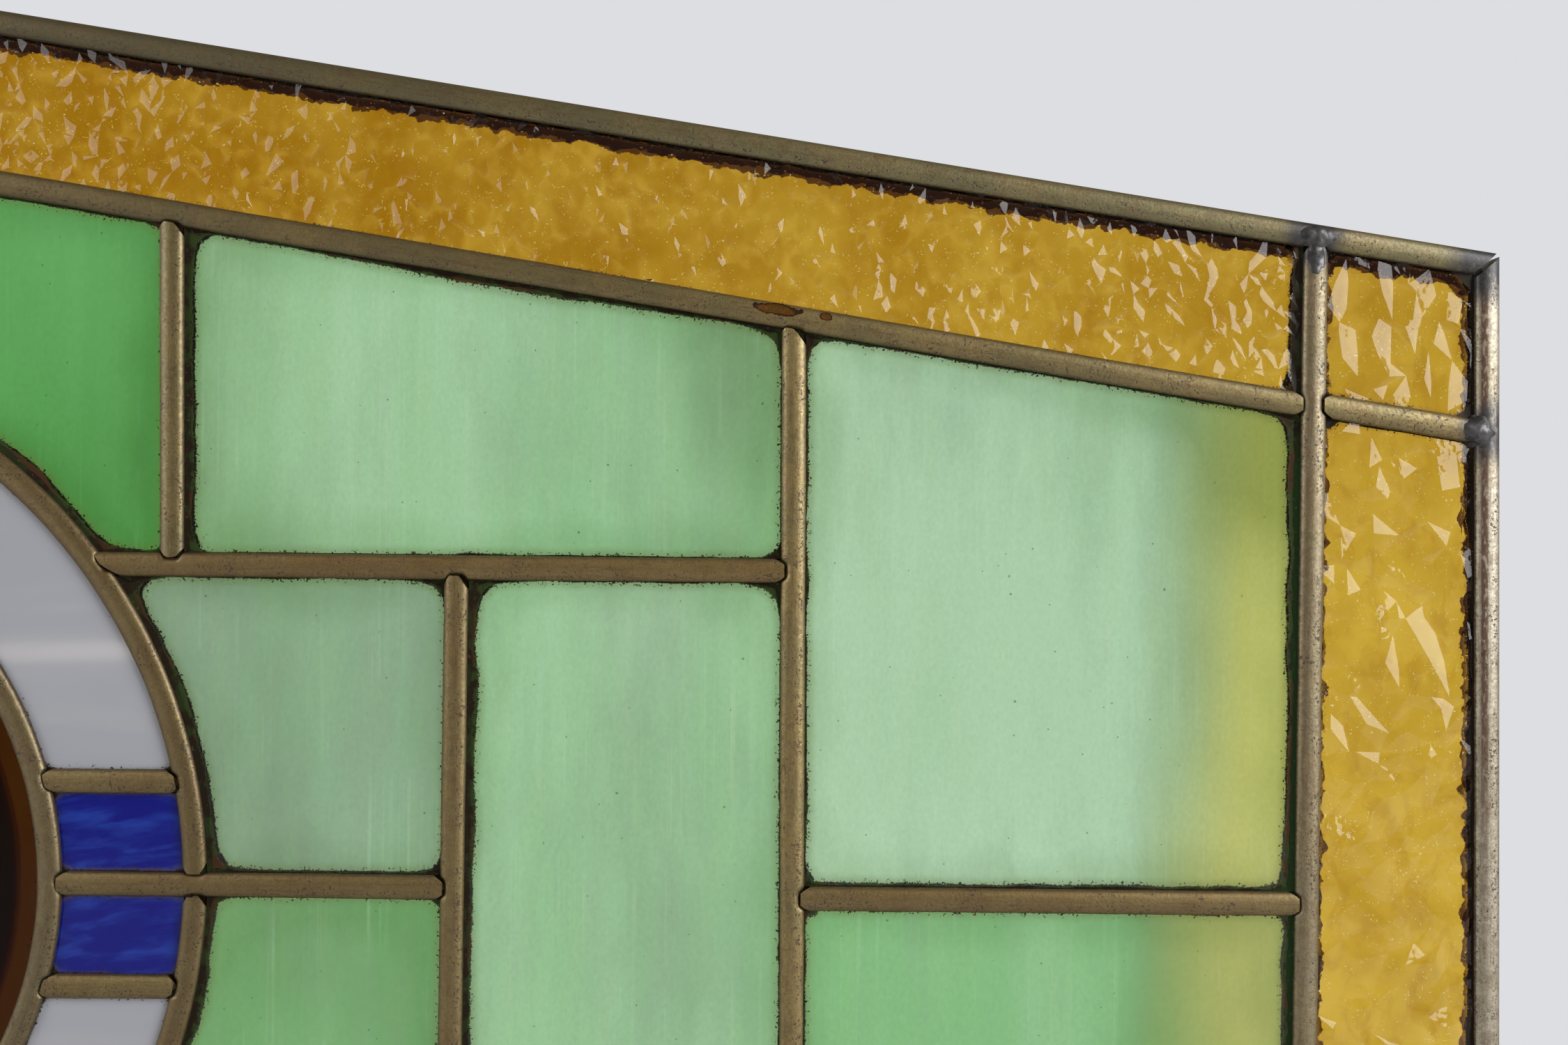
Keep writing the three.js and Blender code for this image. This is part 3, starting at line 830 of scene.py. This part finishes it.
def bead(edge, start, end, came, on_left, into, pitch, face, low):
    """A ragged strip of cement along one side of a pane. Its face is -1 on the front and 1 behind."""
    flat = np.concatenate([side_points(edge, start, end, pitch), [end]])
    if is_ring(edge):
        inward = flat / np.hypot(flat[:, 0], flat[:, 1])[:, None] * into
    else:
        inward = np.broadcast_to(left_of(edge) * into, flat.shape)
    x, z = flat[:, 0], flat[:, 1]
    width = cement_width(came, on_left, x, z) if face < 0 else 0.15 + 0.2 * noise(x, z, 7, 53)
    width = bead_share * width * (1 + 0.4 * noise(x, z, 1.9, 54)) + 0.12 * noise(x, z, 1.3, 55)
    width = np.clip(width, -0.25, bead_limit + 0.4 * noise(x, z, 4, 58))
    hump = np.minimum(0.3 + 0.2 * noise(x, z, 2.6, 56), 0.1 + np.maximum(width, 0) * 0.6)
    top = glass_face + np.minimum(cement_top - glass_face, 0.2 + np.maximum(width, 0))
    profile = [
        (np.full(len(flat), -0.5), np.full(len(flat), low)),
        (np.minimum(width - 0.02, 0.02), top + 0.1 * noise(x, z, 3.1, 57)),
        (width * 0.5, glass_face + hump),
        (width, np.full(len(flat), glass_face + 0.05)),
        (width + 0.05, np.full(len(flat), low)),
    ]
    points = np.stack([
        np.concatenate([flat + inward * out[:, None], (face * up)[:, None]], 1) for out, up in profile
    ], 1)[:, :, [0, 2, 1]]
    faces = grid_faces(len(flat), len(profile))
    last = (len(flat) - 1) * len(profile)
    ends = [(0, 1, 2), (0, 2, 3), (0, 3, 4)]
    faces += ends + [tuple(last + k for k in e[::-1]) for e in ends]
    # The strip's left-hand order depends on the way that it runs, inward, and on its face.
    way = flat[1] - flat[0]
    if (way[0] * inward[0][1] - way[1] * inward[0][0]) * face < 0:
        faces = [f[::-1] for f in faces]
    return points.reshape(-1, 3), faces


def build_cement(material):
    """A bead along every side of every pane, front and back, as one piece on each side of the middle."""
    parts = []
    for name, (point, tracks) in panes.items():
        edges, corners = corners_of(point, tracks, half_width)
        front_foot = cement_foot_amber if "amber" in name else cement_foot
        for k, (came, edge) in enumerate(zip(tracks, edges)):
            offset = offset_of(lines[came], point)
            into = math.copysign(1, offset) * (-1 if is_ring(edge) else 1)
            for face, pitch, low in ((-1, 1.3, front_foot), (1, 4.0, cement_foot)):
                start, end = corners[k], corners[(k + 1) % len(edges)]
                parts.append(bead(edge, start, end, came, offset > 0, into, pitch, face, low))
    make_pair("cement", *joined(parts), material, "putty", crease=50)


# ---- Solder ----


def came_surface(x, z, tracks):
    """How far from the panel's middle the faces of these cames reach at points (x, z)."""
    high = np.full(np.shape(x), glass_face)
    for t in tracks:
        d = np.abs(offset_of(lines[t], np.stack([x, z], -1)))
        round_face = half_lip + (half_depth - half_lip) * np.sqrt(np.clip(1 - (d / half_width) ** 2, 0, 1))
        high = np.maximum(high, np.where(d < half_width, round_face, glass_face))
    return high


def within_frame(x, z):
    """The points, with those past the frame's outer edges moved back on it."""
    points = np.stack([x, z], -1)
    for t in ("side", "gable", "foot"):
        inward = left_of(lines[t]) * math.copysign(1, offset_of(lines[t], (0, 0)))
        over = -(half_width - 0.15) - (points - lines[t][0]) @ inward
        points = points + np.maximum(over, 0)[:, None] * inward
    return points[:, 0], points[:, 1]


def lump(place, half_sizes, slope, thick, tracks, seed, face=-1, rings=9, spokes=30):
    """A shell of solder that lies over the cames at a joint, thickest in its middle."""
    angles = np.arange(spokes) * math.tau / spokes
    radius, angle = np.meshgrid((np.arange(rings) + 1) / rings, angles, indexing="ij")
    wobble = 1 + 0.16 * noise(np.cos(angle) * 3 + seed * 9, np.sin(angle) * 3, 1.1, seed)
    along_x = np.append(radius * np.cos(angle) * wobble * half_sizes[0], 0.0)
    along_z = np.append(radius * np.sin(angle) * wobble * half_sizes[1], 0.0)
    out = np.append(radius, 0.0)
    x = place[0] + along_x - along_z * slope
    z = place[1] + along_z + along_x * slope
    x, z = within_frame(x, z)
    body = came_surface(x, z, tracks)
    rise = thick * (1 - out**2.2) + 0.13 * noise(x, z, 1.9, seed + 1) * (1 - out**4) + 0.05 - 0.2 * out**6
    top = np.minimum(body + rise, solder_top)
    bottom = np.minimum(top - 0.1, body - 0.35)
    points = np.concatenate([np.stack([x, face * top, z], -1), np.stack([x, face * bottom, z], -1)])
    middle, half = rings * spokes, rings * spokes + 1
    front = grid_faces(rings, spokes)
    front += [(middle, k, (k + 1) % spokes) for k in range(spokes)]
    outer = (rings - 1) * spokes
    faces = [tuple(f) for f in front]
    faces += [tuple(half + k for k in f[::-1]) for f in front]
    faces += [
        (outer + k, half + outer + k, half + outer + (k + 1) % spokes, outer + (k + 1) % spokes)
        for k in range(spokes)
    ]
    if face > 0:
        faces = [f[::-1] for f in faces]
    return points, faces


def build_solder(material):
    """Lumps over the upper and lower corner joints, and a low dab behind every joint."""
    lumps = [
        ("gable_joint", gable_joint - (0, 0.2), (4.9, 3.1), -0.12, 0.7, ("gable", "border_side"), 1),
        ("gable_smear", gable_joint - (0.2, 6.0), (2.5, 4.6), 0.0, 0.2, ("border_side",), 2),
        ("side_joint", side_joint - (3.0, -0.2), (4.2, 4.2), -0.1, 0.7, ("corner_upper", "side"), 3),
        ("foot_joint", foot_joint + (0, 0.8), (4.6, 3.4), 0.0, 0.6, ("foot", "border_side"), 4),
        ("lower_joint", lower_joint - (1.2, 0.0), (4.0, 3.8), 0.0, 0.6, ("border_foot", "side"), 5),
    ]
    joints = {}
    for own, start, end, _ in half_cames.values():
        for stop in (start, end):
            if stop["on"]:
                point = crossing(lines[own], lines[stop["on"]], stop["near"])
                joints[tuple(np.round(point, 1))] = (own, stop["on"])
    made = {name: lump(*rest) for name, *rest in lumps}
    made["dabs"] = joined([
        lump(np.array(point), (3.6, 3.4), 0.0, 0.4, tracks, 10 + k, 1, 6, 18)
        for k, (point, tracks) in enumerate(joints.items()) if point[0] > 1
    ])
    for name, (points, faces) in made.items():
        make_pair("solder_" + name, points, faces, material, "solder", crease=60)


# ---- Materials ----


def linear(*colour):
    """A colour that is given from 0 to 255 as the eye sees it."""
    return tuple((c / 255 / 12.92 if c <= 10 else ((c / 255 + 0.055) / 1.055) ** 2.4) for c in colour)


wall_tone = linear(221, 222, 226)
black = (0.0, 0.0, 0.0)


class Graph:
    """Short calls for the shader nodes of a material or of the world."""

    def __init__(self, owner):
        owner.use_nodes = True
        self.nodes, self.links = owner.node_tree.nodes, owner.node_tree.links

    def feed(self, socket, value):
        if isinstance(value, bpy.types.NodeSocket):
            self.links.new(value, socket)
        elif isinstance(value, tuple) and len(value) == 3 and socket.type == "RGBA":
            socket.default_value = value + (1,)
        else:
            socket.default_value = value

    def new(self, kind, output, inputs, **settings):
        """Makes a node with these inputs and settings, and gives one of its outputs."""
        node = self.nodes.new("ShaderNode" + kind)
        for key, value in settings.items():
            setattr(node, key, value)
        for key, value in inputs.items():
            self.feed(node.inputs[key], value)
        return node.outputs[output]

    def sum(self, kind, a, b=0.0, c=0.0, clamp=False):
        return self.new("Math", 0, {0: a, 1: b, 2: c}, operation=kind, use_clamp=clamp)

    def times(self, a, b):
        return self.sum("MULTIPLY", a, b)

    def plus(self, base, value, share):
        """A value, times its share, on top of a base."""
        return self.sum("MULTIPLY_ADD", value, share, base)

    def range(self, value, low, high, to_low=0.0, to_high=1.0, smooth=True):
        ends = {"From Min": low, "From Max": high, "To Min": to_low, "To Max": to_high}
        kind = "SMOOTHSTEP" if smooth else "LINEAR"
        return self.new("MapRange", 0, {"Value": value, **ends}, interpolation_type=kind)

    def mix(self, factor, a, b, kind="MIX"):
        return self.new("Mix", 2, {"Factor": factor, 6: a, 7: b}, data_type="RGBA", blend_type=kind)

    def length(self, vector):
        return self.new("VectorMath", "Value", {0: vector}, operation="LENGTH")

    def seen_directly(self):
        """1 for a ray from the camera, also through glass, and 0 for one that lights the object."""
        path = self.nodes.new("ShaderNodeLightPath").outputs
        return self.sum("MAXIMUM", path["Is Camera Ray"], path["Is Transmission Ray"])


class Finish(Graph):
    """A material with one Principled shader, whose base colour is built up coat by coat."""

    def __init__(self, name, **plain):
        self.material = bpy.data.materials.new(name)
        super().__init__(self.material)
        self.shader = self.nodes["Principled BSDF"]
        for key, value in plain.items():
            self.set(key.replace("_", " "), value)
        self.place = self.new("TexCoord", "Object", {})
        self.colour = black

    def set(self, name, value):
        self.feed(self.shader.inputs[name], value)

    def coat(self, mask, colour, share=1, kind="MIX"):
        """Lays a colour over the ones before it, as far as its mask and its share let it cover them."""
        mask = mask if share == 1 else self.times(mask, share)
        self.colour = self.mix(mask, self.colour, colour, kind)

    def attribute(self, name):
        return self.new("Attribute", "Fac", {}, attribute_name=name)

    def coordinate(self, axis):
        return self.new("SeparateXYZ", axis, {0: self.place})

    def mapped(self, grain, stretch=(1, 1, 1), offset=0.0, turn=0.0):
        """Coordinates in steps of grain millimetres, longer along an axis that stretch names."""
        place = self.place
        if turn:
            place = self.new("Mapping", 0, {"Vector": place, "Rotation": (0, turn, 0)})
        return self.new("Mapping", 0, {
            "Vector": place, "Scale": [1 / (grain * MM * s) for s in stretch],
            "Location": (offset, offset * 0.37, offset * 0.71),
        })

    def noise(self, grain, stretch=(1, 1, 1), detail=3.0, rough=0.55, offset=0.0, warp=0.0, turn=0.0):
        return self.new("TexNoise", "Fac", {
            "Vector": self.mapped(grain, stretch, offset, turn), "Scale": 1.0, "Detail": detail,
            "Roughness": rough, "Distortion": warp,
        })

    def patches(self, low, high, *grain, **how):
        """Patches of noise, from 0 where it is low to 1 where it is high."""
        return self.range(self.noise(*grain, **how), low, high)

    def streaks(self, long, wide):
        """Noise that is drawn out along a came."""
        place = self.new("CombineXYZ", 0, {
            0: self.times(self.attribute("along"), along_unit / long),
            1: self.times(self.attribute("across"), half_width / wide),
            2: self.times(self.attribute("tone"), 50),
        })
        return self.new("TexNoise", "Fac", {"Vector": place, "Scale": 1.0, "Detail": 4.0})

    def ellipse(self, x, z, length, height, turn):
        """The distance from a point of the panel's face, 1 on an ellipse about it."""
        return self.length(self.new("Mapping", 0, {
            "Vector": self.place, "Location": (x * MM, 0, (z + centre_height) * MM),
            "Rotation": (0, turn, 0), "Scale": (length * MM, 1000, height * MM),
        }, vector_type="TEXTURE"))

    def finished(self, bump_height=None, distance=0.0):
        """The material, with its base colour and its relief, of a depth in millimetres."""
        self.set("Base Color", self.colour)
        if bump_height is not None:
            bump = {"Height": bump_height, "Strength": 1.0, "Distance": distance * MM}
            self.set("Normal", self.new("Bump", 0, bump))
        return self.material


# The two marks where a torch scorched the border's gable came: their middles and half sizes.
scorch_marks = ((292.4, 153.0, 6.4, 1.6), (305.1, 151.3, 1.7, 1.2))
gable_slope = math.atan2(68.6, 430)


def came_finish():
    """Old brass: olive khaki to brown, darkened per came as painted shade, with dark specks, painted shade
    along its edges, and grey where it was soldered.
    """
    f = Finish("came_brass", Coat_Roughness=0.3)
    signed = f.attribute("across")
    across = f.sum("ABSOLUTE", signed)
    patch = f.plus(-0.15, f.patches(0.35, 0.65, 15, detail=4), 0.3)
    brown = f.sum("ADD", f.attribute("tone"), patch, clamp=True)
    f.colour = f.mix(f.range(brown, 0.0, 0.5, smooth=False), (0.155, 0.142, 0.060), (0.262, 0.200, 0.078))
    f.coat(f.range(brown, 0.5, 1.0, smooth=False), (0.215, 0.143, 0.049))
    bare = f.range(f.noise(11, detail=5, offset=2), 0.3, 0.6, 0.6, 1.0)
    f.coat(f.times(f.attribute("worn"), bare), (0.56, 0.51, 0.40))
    # Painted shade: each came's colour times its own painted shade factor.
    f.coat(1.0, f.attribute("shade"), kind="MULTIPLY")
    f.coat(f.range(f.streaks(9, 0.5), 0.52, 0.66), (0.11, 0.055, 0.028), 0.38)
    worms = f.patches(0.52, 0.62, 3.2, detail=2, rough=0.4, offset=6, warp=1.2)
    f.coat(worms, (0.13, 0.075, 0.035), 0.28)
    fine = f.patches(0.3, 0.7, 0.9, detail=5, rough=0.7)
    f.coat(fine, (0.085, 0.058, 0.032), 0.4)
    f.coat(f.patches(0.54, 0.62, 0.5, detail=3, rough=0.8, offset=12), (0.050, 0.030, 0.018), 0.42)
    # Red copper beside the crest of a worn came, less of it low down.
    band = f.times(f.range(signed, 0.0, 0.2), f.range(signed, 0.55, 0.72, 1, 0))
    red = f.times(f.times(f.attribute("worn"), band), 0.85)
    red = f.times(red, f.patches(0.34, 0.50, 1.1, (1, 1, 2.5), 4, offset=9))
    f.coat(f.times(red, f.range(f.coordinate(2), 0.23, 0.30, 0.12, 1.0)), (0.080, 0.036, 0.020))
    # Dark specks, in clumps that favour one flank, and painted shade along both edges, where the came meets
    # the glass.
    flank = f.times(f.range(signed, -0.95, -0.6), f.range(signed, -0.35, 0.0, 1, 0))
    clump = f.range(f.plus(f.noise(7, detail=3, offset=8), flank, 0.13), 0.52, 0.62)
    specks = f.times(f.patches(0.57, 0.63, 0.75, detail=2, offset=4), clump)
    dark = f.sum("MAXIMUM", specks, f.range(f.plus(across, fine, 0.08), 0.96, 1.05))
    f.coat(dark, (0.030, 0.017, 0.009), 0.85)
    dull = dark
    for x, z, length, height in scorch_marks:
        ellipse = f.ellipse(x, z, length, height, gable_slope)
        place = f.plus(ellipse, f.noise(2.2, detail=3, offset=5), 1.1)
        scorch = f.mix(f.range(place, 0.6, 1.1), (0.080, 0.050, 0.009), (0.120, 0.046, 0.007))
        scorch = f.mix(f.range(place, 1.22, 1.45), scorch, (0.028, 0.013, 0.005))
        here = f.range(place, 1.50, 1.56, 1, 0)
        f.coat(here, scorch)
        dull = f.sum("MAXIMUM", dull, here)
    grey = f.range(f.noise(2.4, detail=4, offset=1), 0.3, 0.5, 0.6, 1.0)
    f.coat(f.times(f.attribute("tin"), grey), (0.036, 0.035, 0.037))
    f.set("Roughness", f.range(fine, 0, 1, 0.38, 0.52))
    f.set("Metallic", f.range(dark, 0, 1, 0.85, 0.15))
    f.set("Coat Weight", f.range(dull, 0, 1, 0.45, 0.02))
    return f.finished(f.sum("ADD", fine, f.times(specks, -2)), 0.03)


def solder_finish():
    """Dull grey solder, shiny in patches."""
    f = Finish("grey_solder", Metallic=0.75)
    dull = f.patches(0.35, 0.65, 2.2, detail=5)
    f.colour = f.mix(dull, (0.085, 0.084, 0.088), (0.028, 0.026, 0.026))
    f.set("Roughness", f.range(dull, 0, 1, 0.3, 0.55))
    return f.finished(f.noise(1.6, detail=3, offset=3), 0.05)


def cement_finish():
    """Old glazing cement: nearly black, with pale grains, and mossy beside the border's side came."""
    f = Finish("old_cement", Roughness=0.85, Specular_IOR_Level=0.08)
    f.colour = f.mix(f.patches(0.45, 0.62, 3.5, detail=4), (0.011, 0.0075, 0.004), (0.014, 0.020, 0.006))
    outward = f.sum("ABSOLUTE", f.coordinate(0))
    mossy = f.times(f.range(outward, 0.420, 0.423), f.range(f.coordinate(2), 0.357, 0.361, 1, 0))
    f.coat(mossy, (0.011, 0.028, 0.008))
    f.coat(f.range(outward, 0.432, 0.434), (0.012, 0.009, 0.005))
    f.coat(f.patches(0.64, 0.72, 0.8, detail=3, offset=5), (0.16, 0.15, 0.10), 0.3)
    return f.finished(f.noise(0.9, detail=5, rough=0.7), 0.25)


def seen(*colour):
    """The shader's colour for glass that shows this colour before the pale wall."""
    return tuple(max(0.002, (c - 0.015) / (w * 0.94)) for c, w in zip(linear(*colour), wall_tone))


def dirty(
    f, clearness=1.0, stain=(0.16, 0.20, 0.04), stain_reach=3.0, mossy=(0.012, 0.008, 0.004),
    crust_roughness=0.33,
):
    """Cement and grime on a pane beside its cames: all of it, then ragged grains, then a thin stain."""
    rim = f.attribute("rim")
    ragged = f.plus(rim, f.noise(0.5, detail=4, rough=0.8), -2.2)
    ragged = f.plus(ragged, f.noise(5, detail=2, offset=3), -1.0)
    crust = f.range(ragged, -1.62, -1.48, 1, 0)
    near = f.range(rim, 0.1, 2.6, 1, 0)
    grain = f.range(f.plus(f.noise(0.9, detail=1, offset=9), near, 0.12), 0.74, 0.77)
    crust = f.sum("MAXIMUM", crust, f.times(grain, near))
    f.coat(f.range(ragged, -1.6, stain_reach - 1.6, 0.42, 0), stain)
    moss, rust = f.patches(0.42, 0.56, 3.5, detail=3), f.patches(0.52, 0.64, 13, detail=2, offset=21)
    f.coat(crust, f.mix(rust, f.mix(moss, (0.012, 0.008, 0.003), mossy), (0.042, 0.017, 0.006)))
    f.set("Transmission Weight", f.range(crust, 0, 1, clearness, 0.0))
    f.set("Roughness", f.range(crust, 0, 1, 0.05, crust_roughness))


def green_finish(name, leaf, pale, smoky, deep, thread, gold=None):
    """Streaky green glass, drawn up and down, with painted shade, painted shadows and a painted band of
    amber light.
    """
    f = Finish(name, IOR=1.5, Specular_IOR_Level=0.15)

    def wash(mask, colour, middle, *streaks, kind="MIX"):
        """A soft coat where a pane's mask is over its middle, moved by the share that each streak has."""
        level = f.sum("SUBTRACT", f.attribute(mask), middle)
        for share, streak in streaks:
            level = f.plus(level, streak, share)
        f.coat(f.range(level, 0.0, 1.0, smooth=False), colour, kind=kind)

    f.colour = leaf
    broad = f.noise(26, (1, 1, 3.5), 3, offset=7, warp=0.5)
    fine = f.noise(8, (1, 1, 10), 4, offset=2, warp=0.3)
    wash("pale", pale, 0.5, (0.5, broad), (0.5, fine))
    wash("smoke", smoky, 0.45, (0.9, f.noise(6, (1, 1, 4), 4, offset=4)))
    # Painted light: the band of amber light in the tall panes.
    if gold:
        band = f.plus(f.attribute("gold"), f.noise(7, (1, 1, 6), 3, offset=6), 0.24)
        f.coat(f.range(band, 0.12, 1.12, smooth=False), gold)
    # The glass's own depth, together with the painted shade and shadows from the masks.
    wash("deep", deep, 0.15, (0.3, f.noise(10, (1, 1, 2), 3, offset=5)), kind="MULTIPLY")
    drawn = f.patches(0.56, 0.76, 1.4, (1, 1, 80), 2, offset=15)
    f.coat(f.times(drawn, f.range(f.noise(30, detail=2, offset=16), 0.4, 0.6, 0.0, 0.2)), thread)
    # Painted shading of the fine orange-peel relief: faint darker dimples.
    painted_peel_shade = f.range(f.noise(1.0, (1, 1, 1.5), 3, offset=13), 0.3, 0.7, 0.0, 0.10, smooth=False)
    f.coat(painted_peel_shade, black)
    f.coat(f.patches(0.85, 0.87, 1.5, detail=0, offset=11), (0.04, 0.07, 0.02), 0.8)
    dirty(f, mossy=(0.022, 0.036, 0.008))
    return f.finished(f.noise(0.8, detail=2, offset=1), 0.004)


def amber_finish():
    """Hammered amber: paler where it is thin and towards the sides, with a dark band of painted shade and
    old cement along its channel, and painted glints.
    """
    f = Finish("hammered_amber", IOR=1.36, Specular_IOR_Level=0.25)
    outward = f.range(f.sum("ABSOLUTE", f.coordinate(0)), 0.05, 0.50, smooth=False)
    drift = f.plus(f.times(outward, 0.75), f.patches(0.35, 0.65, 26, detail=3), 0.35)
    upward = f.range(f.coordinate(2), 0.32, 0.36)
    drift = f.sum("MULTIPLY_ADD", upward, -0.27, drift, clamp=True)
    f.colour = f.mix(drift, seen(152, 110, 28), seen(197, 164, 62))
    thin = f.plus(f.attribute("thin"), f.noise(5, detail=3, offset=3, warp=0.8), 0.5)
    f.coat(f.range(thin, 0.15, 0.75, 0.0, 0.6), seen(210, 176, 80))
    f.coat(f.patches(0.5, 0.66, 7, (1, 1, 1.5), 3, offset=8, warp=0.8), seen(148, 98, 28), 0.3)
    # Painted shade, with old cement: a ragged dark brown band along the channel, where the came's back
    # shows through the glass.
    edge = f.plus(f.attribute("dark"), f.noise(4.5, detail=1, offset=14), 5.0)
    edge = f.plus(edge, f.noise(1.3, detail=2, offset=18), 1.6)
    f.coat(f.range(edge, 2.6, 4.4, 0, 0.35), seen(140, 92, 30))
    f.coat(f.range(edge, 3.2, 3.4), (0.020, 0.005, 0.002))
    # Painted glints: tiny white specks that stand in for reflections of the lamps.
    painted_glint = f.patches(0.75, 0.79, 0.6, detail=0, offset=6)
    f.coat(f.times(painted_glint, f.patches(0.46, 0.56, 4.5, detail=1, offset=17)), (0.93, 0.91, 0.88))
    dirty(f, stain=(0.30, 0.12, 0.02), stain_reach=1.5, crust_roughness=0.45)
    return f.finished(f.noise(2.6, detail=1, offset=2), 0.07)


def opal_finish(name, body, streaked, grain, turn):
    """Opaque glass with soft streaks."""
    f = Finish(name, IOR=1.5, Specular_IOR_Level=0.3)
    streak = f.patches(0.4, 0.75, grain, (1, 1, 0.25), 3, offset=5, warp=0.35, turn=turn)
    f.colour = f.mix(streak, body, streaked)
    dirty(f, 0.0, (0.10, 0.08, 0.05), 1.0)
    return f.finished()


def brown_finish():
    """The disc's glass: nearly black, with a lighter brown band along its rim."""
    f = Finish("brown_disc_glass", IOR=1.2)
    inward = f.plus(f.attribute("rim"), f.noise(24, detail=2), 1.6)
    cloud = f.patches(0.4, 0.7, 40, detail=3, offset=2)
    f.colour = f.mix(cloud, (0.005, 0.0013, 0.0006), (0.013, 0.006, 0.002))
    f.coat(f.range(inward, 6.6, 8.4, 1, 0), (0.022, 0.002, 0.0004))
    f.coat(f.range(inward, 6.2, 7.0, 1, 0), f.mix(cloud, (0.052, 0.014, 0.0005), (0.066, 0.020, 0.0008)))
    dirty(f, 1.0, (0.05, 0.02, 0.01), 1.0)
    return f.finished()


# ---- The studio ----


def build_world():
    """A dim room, brighter and cooler to its sides and upwards. The camera sees a pale wall instead."""
    world = bpy.data.worlds.new("studio")
    bpy.context.scene.world = world
    g = Graph(world)
    way = g.new("TexCoord", "Generated", {})
    sideways, upwards = (g.new("SeparateXYZ", axis, {0: way}) for axis in (0, 2))
    glow = g.range(g.sum("ABSOLUTE", sideways), 0.45, 0.95, 0.26, 0.95, smooth=False)
    room = g.times(glow, g.range(upwards, -0.6, 0.8, 0.55, 1.25, smooth=False))
    warmth = g.mix(glow, (1.0, 0.84, 0.58), (1.0, 0.97, 0.95))
    lighting = g.mix(1.0, warmth, room, "MULTIPLY")
    g.feed(g.nodes["Background"].inputs["Color"], g.mix(g.seen_directly(), lighting, wall_tone))


def build_floor():
    """A pale floor whose far part is as bright as the wall colour, so no horizon shows."""
    bpy.ops.mesh.primitive_circle_add(vertices=96, radius=6, fill_type="NGON", location=(0, 0, -0.0004))
    floor = bpy.context.object
    floor.name = "floor"
    f = Finish("pale_floor", Base_Color=(0.62, 0.62, 0.63), Roughness=0.8)
    far = f.range(f.length(f.new("Mapping", 0, {0: f.place, "Scale": (0.5, 1, 1)})), 0.2, 0.5)
    wall = f.new("Emission", 0, {"Color": wall_tone})
    both = f.new("MixShader", 0, {0: f.times(f.seen_directly(), far), 1: f.shader.outputs[0], 2: wall})
    f.feed(f.nodes["Material Output"].inputs["Surface"], both)
    floor.data.materials.append(f.material)


def softbox(name, place, aim, width, height, power, tint=(1, 1, 1)):
    """A rectangular lamp that shows neither to the camera nor through glass."""
    data = bpy.data.lights.new(name, "AREA")
    data.shape = "RECTANGLE"
    data.size, data.size_y = width, height
    data.energy, data.color = power, tint
    light = bpy.data.objects.new(name, data)
    light.location = place
    light.rotation_euler = (Vector(aim) - Vector(place)).to_track_quat("-Z", "Y").to_euler()
    light.visible_camera = light.visible_transmission = False
    bpy.context.scene.collection.objects.link(light)


camera_place = (0.2948, -0.4037, (centre_height + 97.0) * MM)
camera_roll = -0.0105


def build_camera():
    """Square to the panel, above and to the right of its middle, and rolled by half a degree."""
    data = bpy.data.cameras.new("camera")
    data.lens, data.sensor_width = 35, 36
    camera = bpy.data.objects.new("camera", data)
    camera.location = camera_place
    camera.rotation_euler = Euler((math.pi / 2, camera_roll, 0))
    bpy.context.scene.collection.objects.link(camera)
    bpy.context.scene.camera = camera


# ---- The scene ----

shadow = (0.58, 0.64, 0.50)
finishes = {
    "green_glass": green_finish(
        "streaky_green", seen(129, 185, 126), seen(173, 208, 172), seen(138, 166, 138), shadow,
        thread=seen(192, 219, 188), gold=seen(186, 190, 110),
    ),
    "deep_green_glass": green_finish(
        "streaky_deep_green", seen(94, 166, 90), seen(116, 182, 116), seen(104, 158, 106), shadow,
        thread=seen(125, 190, 124),
    ),
    "amber_glass": amber_finish(),
    "white_glass": opal_finish("white_opal", (0.292, 0.304, 0.345), (0.315, 0.325, 0.362), 60, 0.0),
    "blue_glass": opal_finish("blue_opal", (0.0005, 0.003, 0.155), (0.008, 0.030, 0.26), 15, 0.16),
    "brown_glass": brown_finish(),
}
build_camera()
build_world()
build_floor()
softbox("softbox_right", (1.32, -0.83, 0.78), aim=(0.35, 0, 0.34), width=0.8, height=1.1, power=21)
softbox("softbox_left", (-0.92, -0.77, 0.78), aim=(0.0, 0, 0.34), width=0.62, height=1.2, power=7.6)
softbox(
    "lamp", (-0.400, -1.078, 0.207), aim=(0.1, 0, 0.304), width=0.135, height=0.016, power=0.036,
    tint=(1.0, 0.86, 0.74),
)
build_cames(came_finish())
build_panes(finishes)
build_cement(cement_finish())
build_solder(solder_finish())

bpy.context.scene.view_settings.view_transform = "Standard"
bpy.context.view_layer.update()
